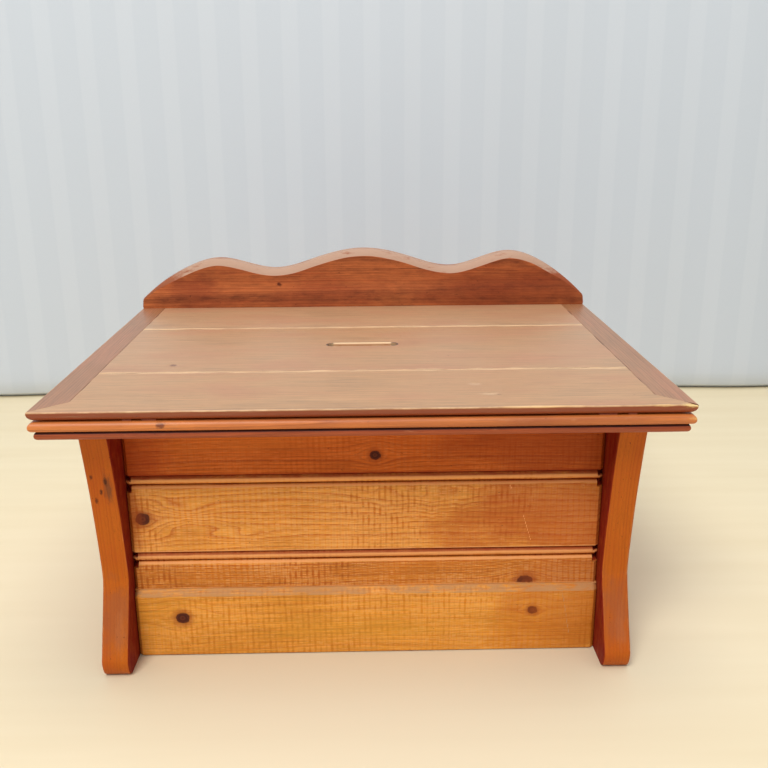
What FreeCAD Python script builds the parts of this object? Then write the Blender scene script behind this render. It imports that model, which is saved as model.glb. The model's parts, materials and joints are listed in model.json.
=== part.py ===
import FreeCAD
import Part
import os
from FreeCAD import Vector

os.makedirs("parts", exist_ok=True)

# Pine bread box: a flared plank case with a hinged flat lid that carries a scalloped rail.
# Millimetres. Origin on the ground under the middle of the whole box, +X right,
# -Y towards the front, +Z up.

# ---- driving dimensions -------------------------------------------------------------
TOP_WIDTH = 420.0           # lid, frame and rail, side to side
LID_REACH = 309.0           # lid's front edge to the rail's face
LID_TOP = 205.8             # top of the closed lid above the ground
LID_THICK = 6.4
LID_ROUND = 5.4             # quarter round along the lid's lower outer edge
SEAM_CUT = 0.5              # half width, and depth, of the V cut along the lid's joints
LID_GAP = 0.8               # lid's underside above the top frame
FRAME_THICK = 6.6
FRAME_WIDTH = 66.0          # each member of the top frame, in plan
TRIM_THICK = 6.0
TRIM_INSET = 2.5            # moulding strip, back from the frame's edge
TRIM_CLEAR = (0.05, 0.1)    # strip to the end panels' sides and front edges
END_BOARD_WIDTH = 20.9      # narrow boards across the ends of the lid's planks
FRONT_PLANK = 87.0          # depth of the lid's front plank
MIDDLE_PLANK = 135.0
SLOT_LENGTH = 55.3
SLOT_WIDTH = 8.0
SLOT_FROM_FRONT = 162.4
SLOT_X = -1.5               # the slot's middle is a little left of the lid's
SLOT_EASE = 1.2             # worn round of the slot's mouth

RAIL_THICK = 19.0
RAIL_END = 9.0              # height of the rail's square ends
RAIL_BEVEL = 5.5            # routed band along the rail's top front edge
RAIL_SHORT = 0.5            # rail's ends inside the lid's

END_PANEL_OUT = 187.0       # outer face of each end panel from the middle
BOARD = 19.0                # thick boards: end panels, skirt, rail
THIN = 12.7                 # thin boards: front and back matchboards, floor
PANEL_SETBACK = 51.7        # front boards behind the lid's front edge
SKIRT_PROUD = 4.5
SKIRT_TOP = 52.8
SKIRT_BEVEL = 4.2
GROUND_GAP = 0.6            # skirt and back boards stop just short of the ground

SIDE_CLEAR = 0.15           # case boards' ends to the end panels
BOARD_GAP = 0.9             # open joint line between matchboards
BEAD_TALL = 6.0
QUIRK = 1.2                 # narrow groove under a bead
SHOULDER = 4.6              # rounded shoulder under the quirk
RECESS = 2.0                # how far shoulder and bead fall back from the face
BEAD_SET_BACK = 0.4         # the bead's crown behind the face
QUIRK_DEPTH = 1.2
TONGUE = 4.0
TONGUE_HALF = 2.0           # half the tongue's thickness
TONGUE_CLEAR = 0.2
TONGUE_DEPTH_CLEAR = 0.5
END_CHAMFER = 2.4           # eased ends of the front boards
MIDDLE_TOP = 140.2          # top of the middle front board's bead
LOWER_TOP = 81.2            # top of the lower front board's bead

FLOOR_Z = 15.0
CLEAT = 12.0
BATTEN_X = 125.0
BATTEN_WIDTH = 22.0
BATTEN_THICK = 8.0
BATTEN_END_CLEAR = 6.0      # batten's ends inside the frame's opening
BATTEN_CHAMFER = 1.5
BACK_CHAMFER = 1.0          # V joints between the back boards
FLOOR_GAP = 0.4
CLEAT_CLEAR = 1.0

HINGE_X = 120.0
HINGE_LONG = 50.0
LEAF_THICK = 1.2
LEAF_REACH = 18.0
KNUCKLE_R = 2.3
PIN_R = 1.15
PIN_CLEAR = 0.05
KNUCKLE_GAP = 0.3
LEAF_CORNER = 2.5
LEAF_CLEAR = 0.4            # leaf's plate to the knuckle
PIN_PROUD = 0.3             # how far the pin stands out of each end knuckle
PIN_HEAD = 0.7
PIN_HEAD_R = 2.0

PAD_SPANS = [(-151.5, -146.0), (-139.5, -130.5), (148.5, 160.0), (167.0, 172.5)]
PAD_FROM_FRONT = (3.4, 13.0)
REAR_PAD_X = 160.0
REAR_PAD_HALF = 6.0
REAR_PAD_FROM_REAR = (40.0, 28.0)
PAD_SQUASH = 0.1            # pads are thinner than the gap by this

# Screws and brads: length, shank radius, head radius.
FRAME_LEAF_SCREW = (12.0, 1.2, 2.4)
LID_LEAF_SCREW = (14.0, 1.2, 2.4)
BATTEN_SCREW = (11.5, 1.3, 2.8)
CLEAT_SCREW = (26.0, 1.5, 3.0)
RAIL_SCREW = (20.0, 1.6, 3.2)
FRAME_BRAD = (28.0, 0.7, 1.4)
FLOOR_BRAD = (22.0, 0.7, 1.4)
TRIM_BRAD = (10.5, 0.6, 1.1)
END_BOARD_BRAD = (32.0, 0.6, 0.9)
SCREW_HEAD_FLAT = 0.3
SCREW_SLOT = 0.7            # width and depth of a screw's slot
BRAD_HEAD = 0.8
LEAF_SCREW_SPREAD = 17.0
LEAF_SCREW_OUT = 13.2       # outer screws from the hinge's axis
LEAF_SCREW_IN = 9.6         # the middle screw below the axis

# ---- planes worked out from them ----------------------------------------------------
TOTAL_DEPTH = LID_REACH + RAIL_THICK + 2 * KNUCKLE_R
HALF = TOP_WIDTH / 2
Y_FRONT = -TOTAL_DEPTH / 2
Y_RAIL = Y_FRONT + LID_REACH
Y_REAR = Y_RAIL + RAIL_THICK
LID_UNDER = LID_TOP - LID_THICK
FRAME_TOP = LID_UNDER - LID_GAP
FRAME_UNDER = FRAME_TOP - FRAME_THICK
TRIM_UNDER = FRAME_UNDER - TRIM_THICK
INNER = END_PANEL_OUT - BOARD            # inner face of each end panel
Y_PANEL = Y_FRONT + PANEL_SETBACK        # face of the front matchboards
Y_PANEL_BACK = Y_PANEL + THIN
Y_SKIRT = Y_PANEL - SKIRT_PROUD
Y_BACK = Y_REAR - THIN                   # inner face of the back boards
FLOOR_TOP = FLOOR_Z + THIN
OPEN_X = HALF - FRAME_WIDTH
OPEN_Y0 = Y_FRONT + FRAME_WIDTH
OPEN_Y1 = Y_REAR - FRAME_WIDTH
PLANK_X = HALF - END_BOARD_WIDTH
Y_SEAM_1 = Y_FRONT + FRONT_PLANK
Y_SEAM_2 = Y_SEAM_1 + MIDDLE_PLANK
HINGE_Y = Y_REAR + KNUCKLE_R
HINGE_Z = FRAME_TOP + LID_GAP / 2


def block(x0, x1, y0, y1, z0, z1):
    return Part.makeBox(x1 - x0, y1 - y0, z1 - z0, Vector(x0, y0, z0))


def plan_prism(points, z0, z1):
    """A polygon of (x, y) points, raised from z0 to z1."""
    corners = [Vector(x, y, z0) for x, y in points]
    wire = Part.makePolygon(corners + corners[:1])
    return Part.Face(wire).extrude(Vector(0, 0, z1 - z0))


def side_prism(points, x0, x1):
    """A polygon of (y, z) points, stretched from x0 to x1."""
    corners = [Vector(x0, y, z) for y, z in points]
    wire = Part.makePolygon(corners + corners[:1])
    return Part.Face(wire).extrude(Vector(x1 - x0, 0, 0))


def mirrored(points):
    return [(-x, y) for x, y in points]


def edges_where(shape, test):
    return [edge for edge in shape.Edges if test(edge)]


def lies_on(edge, **planes):
    """True where every point of the edge has the given x, y or z."""
    for point in [edge.valueAt(edge.FirstParameter), edge.valueAt(edge.LastParameter)]:
        for axis, place in planes.items():
            if abs(getattr(point, axis) - place) > 1e-4:
                return False
    return True


def outer_edges(shape, z, x_edge, y_edge):
    """The front, left and right edges of a slab at height z."""
    def test(edge):
        if not lies_on(edge, z=z):
            return False
        return lies_on(edge, y=y_edge) or lies_on(edge, x=x_edge) or lies_on(edge, x=-x_edge)
    return edges_where(shape, test)


# ---- lid ----------------------------------------------------------------------------
def lid_slab():
    """The whole lid before it is parted into boards: its lower edge is a quarter round."""
    slab = block(-HALF, HALF, Y_FRONT, Y_REAR, LID_UNDER, LID_TOP)
    return slab.makeFillet(LID_ROUND, outer_edges(slab, LID_UNDER, HALF, Y_FRONT))


def seam_groove(x0, y0, x1, y1):
    """A small V cut along a joint in the lid's top face."""
    along = Vector(x1 - x0, y1 - y0, 0)
    across = Vector(-along.y, along.x, 0).normalize() * SEAM_CUT
    start = Vector(x0, y0, LID_TOP)
    above = Vector(0, 0, 0.1)
    corners = [start - across + above, start + across + above, start - Vector(0, 0, SEAM_CUT)]
    return Part.Face(Part.makePolygon(corners + corners[:1])).extrude(along)


def lid_boards():
    slab = lid_slab()
    front_y = Y_FRONT + END_BOARD_WIDTH
    for y in [Y_SEAM_1, Y_SEAM_2]:
        slab = slab.cut(seam_groove(-PLANK_X, y, PLANK_X, y))
    for side in [-1, 1]:
        slab = slab.cut(seam_groove(side * PLANK_X, front_y, side * PLANK_X, Y_RAIL))
    z0 = LID_UNDER - 1
    z1 = LID_TOP + 1
    front_points = [(-HALF, Y_FRONT), (HALF, Y_FRONT), (PLANK_X, front_y), (PLANK_X, Y_SEAM_1),
                    (-PLANK_X, Y_SEAM_1), (-PLANK_X, front_y)]
    end_points = [(HALF, Y_FRONT), (HALF, Y_REAR), (PLANK_X, Y_REAR), (PLANK_X, front_y)]
    boards = {
        "lid_front_plank": slab.common(plan_prism(front_points, z0, z1)),
        "lid_middle_plank": slab.common(block(-PLANK_X, PLANK_X, Y_SEAM_1, Y_SEAM_2, z0, z1)),
        "lid_rear_plank": slab.common(block(-PLANK_X, PLANK_X, Y_SEAM_2, Y_REAR, z0, z1)),
        "lid_right_end_board": slab.common(plan_prism(end_points, z0, z1)),
        "lid_left_end_board": slab.common(plan_prism(mirrored(end_points), z0, z1)),
    }
    boards["lid_middle_plank"] = boards["lid_middle_plank"].cut(slot_cut())
    return boards


def slot_cut():
    """The round-ended slot through the lid, with a worn, opened mouth."""
    y = Y_FRONT + SLOT_FROM_FRONT
    radius = SLOT_WIDTH / 2
    half = SLOT_LENGTH / 2 - radius
    x0 = SLOT_X - half
    x1 = SLOT_X + half
    cut = block(x0, x1, y - radius, y + radius, LID_UNDER - 1, LID_TOP + 1)
    for x in [x0, x1]:
        cut = cut.fuse(Part.makeCylinder(radius, LID_THICK + 2, Vector(x, y, LID_UNDER - 1)))
        cut = cut.fuse(Part.makeCone(radius, radius + SLOT_EASE, SLOT_EASE,
                                     Vector(x, y, LID_TOP - SLOT_EASE)))
    mouth = [(y - radius, LID_TOP - SLOT_EASE), (y - radius - SLOT_EASE, LID_TOP),
             (y + radius + SLOT_EASE, LID_TOP), (y + radius, LID_TOP - SLOT_EASE)]
    return cut.fuse(side_prism(mouth, x0, x1))


def lid_batten(side):
    """A strip under the lid that ties its planks together and drops inside the frame."""
    x = side * BATTEN_X
    strip = block(x - BATTEN_WIDTH / 2, x + BATTEN_WIDTH / 2, OPEN_Y0 + BATTEN_END_CLEAR,
                  OPEN_Y1 - BATTEN_END_CLEAR, LID_UNDER - BATTEN_THICK, LID_UNDER)
    lower = edges_where(strip, lambda edge: lies_on(edge, z=LID_UNDER - BATTEN_THICK))
    return strip.makeChamfer(BATTEN_CHAMFER, lower)


def rail():
    """The scalloped back rail: three humps, the middle one highest, with a bevelled crest."""
    end = HALF - RAIL_SHORT
    crest = [(-end, RAIL_END), (-196, 20.5), (-170, 36), (-138, 45.5), (-85, 35.5), (-46, 44.5),
             (0, 53.5), (46, 44.5), (84, 36.5), (139, 50), (172, 39), (197, 21), (end, RAIL_END)]
    curve = Part.BSplineCurve()
    curve.interpolate([Vector(x, Y_RAIL, LID_TOP + z) for x, z in crest])
    top = curve.toShape()
    left = Vector(-end, Y_RAIL, LID_TOP)
    right = Vector(end, Y_RAIL, LID_TOP)
    sides = [Part.makeLine(left, top.valueAt(top.FirstParameter)),
             Part.makeLine(right, top.valueAt(top.LastParameter)),
             Part.makeLine(left, right)]
    wire = Part.Wire(Part.__sortEdges__([top] + sides))
    board = Part.Face(wire).extrude(Vector(0, RAIL_THICK, 0))
    front_top = edges_where(board, lambda edge: lies_on(edge, y=Y_RAIL) and edge.Length > 300
                            and edge.BoundBox.ZLength > 10)
    return board.makeChamfer(RAIL_BEVEL, front_top)


# ---- top frame and moulding ---------------------------------------------------------
def bullnose_across(y_front, y_back, z0, z1, x_out):
    """A bar along X whose front edge is a half round."""
    radius = (z1 - z0) / 2
    x = -x_out
    low = Vector(x, y_front + radius, z0)
    high = Vector(x, y_front + radius, z1)
    nose = Part.Arc(low, Vector(x, y_front, z0 + radius), high).toShape()
    rest = [high, Vector(x, y_back, z1), Vector(x, y_back, z0), low]
    edges = [nose] + [Part.makeLine(a, b) for a, b in zip(rest, rest[1:])]
    return Part.Face(Part.Wire(edges)).extrude(Vector(2 * x_out, 0, 0))


def bullnose_along(side, x_in, x_out, z0, z1, y_front):
    """A bar along Y whose outer edge is a half round, on the left (-1) or right (1)."""
    radius = (z1 - z0) / 2
    low = Vector(side * (x_out - radius), y_front, z0)
    high = Vector(side * (x_out - radius), y_front, z1)
    nose = Part.Arc(low, Vector(side * x_out, y_front, z0 + radius), high).toShape()
    rest = [high, Vector(side * x_in, y_front, z1), Vector(side * x_in, y_front, z0), low]
    edges = [nose] + [Part.makeLine(a, b) for a, b in zip(rest, rest[1:])]
    return Part.Face(Part.Wire(edges)).extrude(Vector(0, Y_REAR - y_front, 0))


def frame_members():
    """A front and two side members, mitred and half round outside, and a rear one between them."""
    z0 = FRAME_UNDER - 1
    z1 = FRAME_TOP + 1
    front_plan = [(-HALF, Y_FRONT), (HALF, Y_FRONT), (OPEN_X, OPEN_Y0), (-OPEN_X, OPEN_Y0)]
    right_plan = [(HALF, Y_FRONT), (HALF, Y_REAR), (OPEN_X, Y_REAR), (OPEN_X, OPEN_Y0)]
    front = bullnose_across(Y_FRONT, OPEN_Y0, FRAME_UNDER, FRAME_TOP, HALF)
    members = {"frame_front": front.common(plan_prism(front_plan, z0, z1)),
               "frame_rear": block(-OPEN_X, OPEN_X, OPEN_Y1, Y_REAR, FRAME_UNDER, FRAME_TOP)}
    for name, side, plan in [("frame_left", -1, mirrored(right_plan)), ("frame_right", 1, right_plan)]:
        bar = bullnose_along(side, OPEN_X, HALF, FRAME_UNDER, FRAME_TOP, Y_FRONT)
        members[name] = bar.common(plan_prism(plan, z0, z1))
    return members


def trim_strips():
    """A thin round-edged moulding under the frame's overhang, outside the end panels."""
    x_out = HALF - TRIM_INSET
    x_in = END_PANEL_OUT + TRIM_CLEAR[0]
    y_front = Y_FRONT + TRIM_INSET
    y_in = PANEL_TOP_Y - TRIM_CLEAR[1]
    width = y_in - y_front
    z0 = TRIM_UNDER - 1
    z1 = FRAME_UNDER + 1
    front_plan = [(-x_out, y_front), (x_out, y_front), (x_out - width, y_in), (width - x_out, y_in)]
    right_plan = [(x_out, y_front), (x_out, Y_REAR), (x_in, Y_REAR), (x_in, y_in),
                  (x_out - width, y_in)]
    front = bullnose_across(y_front, y_in, TRIM_UNDER, FRAME_UNDER, x_out)
    strips = {"trim_front": front.common(plan_prism(front_plan, z0, z1))}
    for name, side, plan in [("trim_left", -1, mirrored(right_plan)), ("trim_right", 1, right_plan)]:
        bar = bullnose_along(side, x_in, x_out, TRIM_UNDER, FRAME_UNDER, y_front)
        strips[name] = bar.common(plan_prism(plan, z0, z1))
    return strips


# ---- case ---------------------------------------------------------------------------
PANEL_TOP_Y = Y_FRONT + 18.8      # front edge of an end panel, under the frame
WAIST = (Y_FRONT + 41.8, 66.0)    # (y, z) of the narrowest place
TOE = (Y_FRONT + 19.6, 13.0)
SWEEP = (WAIST[0] - 7.0, 122.0)   # on the curve above the waist
SWELL = (WAIST[0] - 12.5, 36.0)   # and below it
TOE_ROUND = 8.0
TOE_CORNER = (TOE[0] + 1.8, 3.6)
WAIST_ROUND = 6.0
EDGE_EASE = 1.0


def end_panel(side):
    """A board whose front edge sweeps in to a waist and out again to a rounded foot."""
    x = side * INNER
    top = Vector(x, PANEL_TOP_Y, FRAME_UNDER)
    sweep = Vector(x, *SWEEP)
    waist = Vector(x, *WAIST)
    swell = Vector(x, *SWELL)
    toe = Vector(x, *TOE)
    corner = Vector(x, *TOE_CORNER)
    sole = Vector(x, TOE[0] + TOE_ROUND, 0)
    heel = Vector(x, Y_REAR, 0)
    back = Vector(x, Y_REAR, FRAME_UNDER)
    outline = [Part.Arc(top, sweep, waist).toShape(),
               Part.Arc(waist, swell, toe).toShape(),
               Part.Arc(toe, corner, sole).toShape(),
               Part.makeLine(sole, heel),
               Part.makeLine(heel, back),
               Part.makeLine(back, top)]
    board = Part.Face(Part.Wire(outline)).extrude(Vector(side * BOARD, 0, 0))
    crease = edges_where(board, lambda edge: lies_on(edge, y=WAIST[0], z=WAIST[1]))
    board = board.makeFillet(WAIST_ROUND, crease)
    shaped = edges_where(board, lambda edge: edge.BoundBox.XLength < 0.01
                         and edge.BoundBox.YMax < Y_PANEL)
    return board.makeChamfer(EDGE_EASE, shaped)


def tongue_groove(y_mid, z):
    """The slot in a board's lower edge that takes the next board's tongue."""
    half = TONGUE_HALF + TONGUE_CLEAR
    return block(-INNER, INNER, y_mid - half, y_mid + half, z - 0.1, z + TONGUE + TONGUE_DEPTH_CLEAR)


def beaded_board(z0, z1, grooved):
    """A front matchboard: bead, quirk and rounded shoulder along its top edge, tongue above."""
    face = Y_PANEL
    back = Y_PANEL_BACK
    mid = (face + back) / 2
    x = -INNER + SIDE_CLEAR
    bead_low = z1 - BEAD_TALL
    quirk_low = bead_low - QUIRK
    shoulder_low = quirk_low - SHOULDER

    def at(y, z):
        return Vector(x, y, z)

    shoulder = Part.Arc(at(face, shoulder_low), at(face + RECESS * 0.3, quirk_low - SHOULDER * 0.3),
                        at(face + RECESS, quirk_low))
    bead = Part.Arc(at(face + RECESS, bead_low), at(face + BEAD_SET_BACK, (bead_low + z1) / 2),
                    at(face + RECESS, z1))
    deep = face + RECESS + QUIRK_DEPTH
    path = [at(back, z0), at(face, z0), at(face, shoulder_low)]
    edges = [Part.makeLine(path[0], path[1]), Part.makeLine(path[1], path[2]), shoulder.toShape(),
             Part.makeLine(at(face + RECESS, quirk_low), at(deep, (quirk_low + bead_low) / 2)),
             Part.makeLine(at(deep, (quirk_low + bead_low) / 2), at(face + RECESS, bead_low)),
             bead.toShape()]
    near = mid - TONGUE_HALF
    far = mid + TONGUE_HALF
    rest = [at(face + RECESS, z1), at(near, z1), at(near, z1 + TONGUE), at(far, z1 + TONGUE),
            at(far, z1), at(back, z1), at(back, z0)]
    edges += [Part.makeLine(a, b) for a, b in zip(rest, rest[1:])]
    board = Part.Face(Part.Wire(edges)).extrude(Vector(2 * (INNER - SIDE_CLEAR), 0, 0))
    if grooved:
        board = board.cut(tongue_groove(mid, z0))
    return board.cut(end_eases(face, z0, z1 + TONGUE))


def end_eases(face, z0, z1):
    """The wedges taken off both front ends of a board."""
    x = INNER - SIDE_CLEAR
    wedge = [(x + 0.1, face - 0.1), (x - END_CHAMFER, face - 0.1), (x + 0.1, face + END_CHAMFER)]
    right = plan_prism(wedge, z0 - 1, z1 + 1)
    left = plan_prism(mirrored(wedge), z0 - 1, z1 + 1)
    return right.fuse(left)


def front_boards():
    mid = (Y_PANEL + Y_PANEL_BACK) / 2
    reach = INNER - SIDE_CLEAR
    top_low = MIDDLE_TOP + BOARD_GAP
    top = block(-reach, reach, Y_PANEL, Y_PANEL_BACK, top_low, FRAME_UNDER)
    top = top.cut(tongue_groove(mid, top_low))
    top = top.cut(end_eases(Y_PANEL, top_low, FRAME_UNDER))
    skirt = block(-reach, reach, Y_SKIRT, Y_SKIRT + BOARD, GROUND_GAP, SKIRT_TOP)
    crest = edges_where(skirt, lambda edge: lies_on(edge, y=Y_SKIRT, z=SKIRT_TOP))
    return {
        "front_top_board": top,
        "front_middle_board": beaded_board(LOWER_TOP + BOARD_GAP, MIDDLE_TOP, True),
        "front_lower_board": beaded_board(SKIRT_TOP, LOWER_TOP, False),
        "front_skirt_board": skirt.makeFillet(SKIRT_BEVEL, crest),
    }


def back_boards():
    """Three plain matchboards, tongued into each other, flush with the end panels' rear edges."""
    reach = INNER - SIDE_CLEAR
    mid = (Y_BACK + Y_REAR) / 2
    step = (FRAME_UNDER - GROUND_GAP) / 3
    boards = {}
    for index, name in enumerate(["back_lower_board", "back_middle_board", "back_top_board"]):
        z0 = GROUND_GAP + index * step
        z1 = z0 + step
        board = block(-reach, reach, Y_BACK, Y_REAR, z0, z1)
        rear = edges_where(board, lambda edge: lies_on(edge, y=Y_REAR) and edge.BoundBox.XLength > 9)
        board = board.makeChamfer(BACK_CHAMFER, rear)
        if index > 0:
            board = board.cut(tongue_groove(mid, z0))
        if index < 2:
            tongue = block(-reach, reach, mid - TONGUE_HALF, mid + TONGUE_HALF, z1 - 0.5, z1 + TONGUE)
            board = board.fuse(tongue)
        boards[name] = board.removeSplitter()
    return boards


def floor_boards():
    reach = INNER - SIDE_CLEAR
    start = Y_SKIRT + BOARD
    step = (Y_BACK - start) / 3
    boards = {}
    for index, name in enumerate(["floor_front_board", "floor_middle_board", "floor_rear_board"]):
        y0 = start + index * step
        boards[name] = block(-reach, reach, y0, y0 + step - FLOOR_GAP, FLOOR_Z, FLOOR_TOP)
    return boards


def cleats():
    """Square strips inside the corners that the boards are nailed to."""
    inside = INNER - CLEAT
    front = Y_PANEL_BACK
    upright_top = FRAME_UNDER
    pieces = {}
    for name, side in [("left", -1), ("right", 1)]:
        x0, x1 = sorted([side * inside, side * INNER])
        pieces["corner_cleat_front_" + name] = block(x0, x1, front, front + CLEAT,
                                                     SKIRT_TOP + CLEAT_CLEAR, upright_top)
        pieces["corner_cleat_rear_" + name] = block(x0, x1, Y_BACK - CLEAT, Y_BACK,
                                                    FLOOR_TOP, upright_top)
        pieces["floor_cleat_" + name] = block(x0, x1, Y_SKIRT + BOARD + CLEAT_CLEAR,
                                              Y_BACK - CLEAT_CLEAR, FLOOR_Z - CLEAT, FLOOR_Z)
    return pieces


# ---- pads, hinges and fasteners -----------------------------------------------------
def rest_pads():
    """Thin slips glued on the frame that the lid comes down on."""
    top = FRAME_TOP + LID_GAP - PAD_SQUASH
    near, far = PAD_FROM_FRONT
    pads = [block(x0, x1, Y_FRONT + near, Y_FRONT + far, FRAME_TOP, top) for x0, x1 in PAD_SPANS]
    near, far = REAR_PAD_FROM_REAR
    for x in [-REAR_PAD_X, REAR_PAD_X]:
        pads.append(block(x - REAR_PAD_HALF, x + REAR_PAD_HALF, Y_REAR - near, Y_REAR - far,
                          FRAME_TOP, top))
    return Part.makeCompound(pads)


def round_along(radius, x0, x1):
    """A round bar on the hinge's axis."""
    return Part.makeCylinder(radius, x1 - x0, Vector(x0, HINGE_Y, HINGE_Z), Vector(1, 0, 0))


def hinge_leaf(x_mid, upward):
    """One leaf of a butt hinge: a plate on the rear face and its share of the knuckles."""
    third = HINGE_LONG / 3
    x0 = x_mid - HINGE_LONG / 2
    spans = [(x0, x0 + third), (x0 + third, x0 + 2 * third), (x0 + 2 * third, x0 + HINGE_LONG)]
    own = [spans[1]] if upward else [spans[0], spans[2]]
    way = 1 if upward else -1
    z_near = HINGE_Z + way * (KNUCKLE_R + LEAF_CLEAR)
    z_far = HINGE_Z + way * LEAF_REACH
    z0, z1 = sorted([z_near, z_far])
    leaf = block(x0, x0 + HINGE_LONG, Y_REAR, Y_REAR + LEAF_THICK, z0, z1)
    corners = edges_where(leaf, lambda edge: edge.BoundBox.YLength > 1 and lies_on(edge, z=z_far))
    leaf = leaf.makeFillet(LEAF_CORNER, corners)
    for a, b in own:
        a += KNUCKLE_GAP / 2
        b -= KNUCKLE_GAP / 2
        t0, t1 = sorted([HINGE_Z, z_near + way * 0.5])
        neck = block(a, b, Y_REAR, Y_REAR + LEAF_THICK, t0, t1)
        leaf = leaf.fuse(neck).fuse(round_along(KNUCKLE_R, a, b))
    for a, b in own:
        leaf = leaf.cut(round_along(PIN_R + PIN_CLEAR, a - 1, b + 1))
    return leaf.removeSplitter()


def hinge_pin(x_mid):
    """The pin, with a small round head at each end."""
    half = HINGE_LONG / 2 + PIN_PROUD
    pin = round_along(PIN_R, x_mid - half, x_mid + half)
    pin = pin.fuse(round_along(PIN_HEAD_R, x_mid - half - PIN_HEAD, x_mid - half))
    pin = pin.fuse(round_along(PIN_HEAD_R, x_mid + half, x_mid + half + PIN_HEAD))
    return pin.removeSplitter()


def screw(tip_way, head_at, size):
    """A slotted countersunk screw: its head's flat at head_at, its tip along tip_way."""
    length, shank_r, head_r = size
    way = Vector(*tip_way).normalize()
    sink = head_r - shank_r
    head_low = head_at + way * SCREW_HEAD_FLAT
    head = Part.makeCylinder(head_r, SCREW_HEAD_FLAT, head_at, way)
    cone = Part.makeCone(head_r, shank_r, sink, head_low, way)
    shank = Part.makeCylinder(shank_r, length - sink - SCREW_HEAD_FLAT, head_low + way * sink, way)
    body = head.fuse(cone).fuse(shank)
    across = Vector(1, 0, 0) if abs(way.x) < 0.5 else Vector(0, 1, 0)
    normal = way.cross(across)
    start = head_at - across * head_r - normal * (SCREW_SLOT / 2) - way * 0.1
    end = start + across * 2 * head_r
    rise = normal * SCREW_SLOT
    slot = Part.makePolygon([start, end, end + rise, start + rise, start])
    return body.cut(Part.Face(slot).extrude(way * SCREW_SLOT)).removeSplitter()


def brad(tip_way, head_at, size):
    length, shank_r, head_r = size
    way = Vector(*tip_way).normalize()
    head = Part.makeCylinder(head_r, BRAD_HEAD, head_at, way)
    return head.fuse(Part.makeCylinder(shank_r, length, head_at, way)).removeSplitter()


FRAME_BRAD_Y = [-120, -40, 40, 120]
TRIM_BRAD_Y = [-90, 0, 90]
FLOOR_BRAD_Y = [-80, -30, 20, 60, 90, 130]
CLEAT_SCREW_Z = [80, 165]
RAIL_SCREW_X = [-180, -62, 62, 180]
FRONT_BRAD_X = [-120, 0, 120]
BATTEN_SCREW_INSET = 18
TRIM_BRAD_IN = 9            # trim brads outside the end panel's face
FRONT_TRIM_BRAD_IN = 10     # and behind the lid's front edge
RAIL_SCREW_FORWARD = 2
PANEL_BRAD_BACK = 1         # brads into the front board, behind its middle
END_BRAD_SHIFT = 6          # end board brads miss the frame brads
END_BRAD_UP = 0.62          # their place in the lid's thickness


def side_fasteners(groups, side):
    """Adds the screws and brads of the left (-1) or right (1) half of the box."""
    leaf_face = Y_REAR + LEAF_THICK
    for offset in [-LEAF_SCREW_SPREAD, 0, LEAF_SCREW_SPREAD]:
        x = side * HINGE_X + offset
        drop = LEAF_SCREW_OUT if offset else LEAF_SCREW_IN
        low = Vector(x, leaf_face, HINGE_Z - drop)
        high = Vector(x, leaf_face, HINGE_Z + LEAF_SCREW_OUT)
        groups["frame_leaf_screws"].append(screw((0, -1, 0), low, FRAME_LEAF_SCREW))
        groups["lid_leaf_screws"].append(screw((0, -1, 0), high, LID_LEAF_SCREW))
    middle = Y_FRONT + SLOT_FROM_FRONT
    for y in [OPEN_Y0 + BATTEN_SCREW_INSET, middle, OPEN_Y1 - BATTEN_SCREW_INSET]:
        head = Vector(side * BATTEN_X, y, LID_UNDER - BATTEN_THICK)
        groups["batten_screws"].append(screw((0, 0, 1), head, BATTEN_SCREW))
    for y in FRAME_BRAD_Y:
        head = Vector(side * (END_PANEL_OUT - BOARD / 2), y, FRAME_TOP)
        groups["frame_brads"].append(brad((0, 0, -1), head, FRAME_BRAD))
        head = Vector(side * HALF, y + END_BRAD_SHIFT, LID_UNDER + LID_THICK * END_BRAD_UP)
        groups["end_board_brads"].append(brad((-side, 0, 0), head, END_BOARD_BRAD))
    for y in TRIM_BRAD_Y:
        head = Vector(side * (END_PANEL_OUT + TRIM_BRAD_IN), y, TRIM_UNDER)
        groups["trim_brads"].append(brad((0, 0, 1), head, TRIM_BRAD))
    for y in FLOOR_BRAD_Y:
        head = Vector(side * (INNER - CLEAT / 2), y, FLOOR_TOP)
        groups["floor_brads"].append(brad((0, 0, -1), head, FLOOR_BRAD))
    for z in CLEAT_SCREW_Z:
        for y in [Y_PANEL_BACK + CLEAT / 2, Y_BACK - CLEAT / 2]:
            head = Vector(side * (INNER - CLEAT), y, z)
            groups["cleat_screws"].append(screw((side, 0, 0), head, CLEAT_SCREW))


def fastener_groups():
    names = ["frame_leaf_screws", "lid_leaf_screws", "rail_screws", "batten_screws", "frame_brads",
             "trim_brads", "floor_brads", "cleat_screws", "end_board_brads"]
    groups = {name: [] for name in names}
    for side in [-1, 1]:
        side_fasteners(groups, side)
    for x in RAIL_SCREW_X:
        head = Vector(x, (Y_RAIL + Y_REAR) / 2 - RAIL_SCREW_FORWARD, LID_UNDER)
        groups["rail_screws"].append(screw((0, 0, 1), head, RAIL_SCREW))
    for x in FRONT_BRAD_X:
        head = Vector(x, Y_FRONT + FRONT_TRIM_BRAD_IN, TRIM_UNDER)
        groups["trim_brads"].append(brad((0, 0, 1), head, TRIM_BRAD))
        head = Vector(x, (Y_PANEL + Y_PANEL_BACK) / 2 + PANEL_BRAD_BACK, FRAME_TOP)
        groups["frame_brads"].append(brad((0, 0, -1), head, FRAME_BRAD))
    return groups


def bored_for(shape, fasteners):
    """The piece with a snug hole for each fastener that passes through it."""
    box = shape.BoundBox
    for item in fasteners:
        if box.intersect(item.BoundBox):
            shape = shape.cut(item)
    return shape


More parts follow.
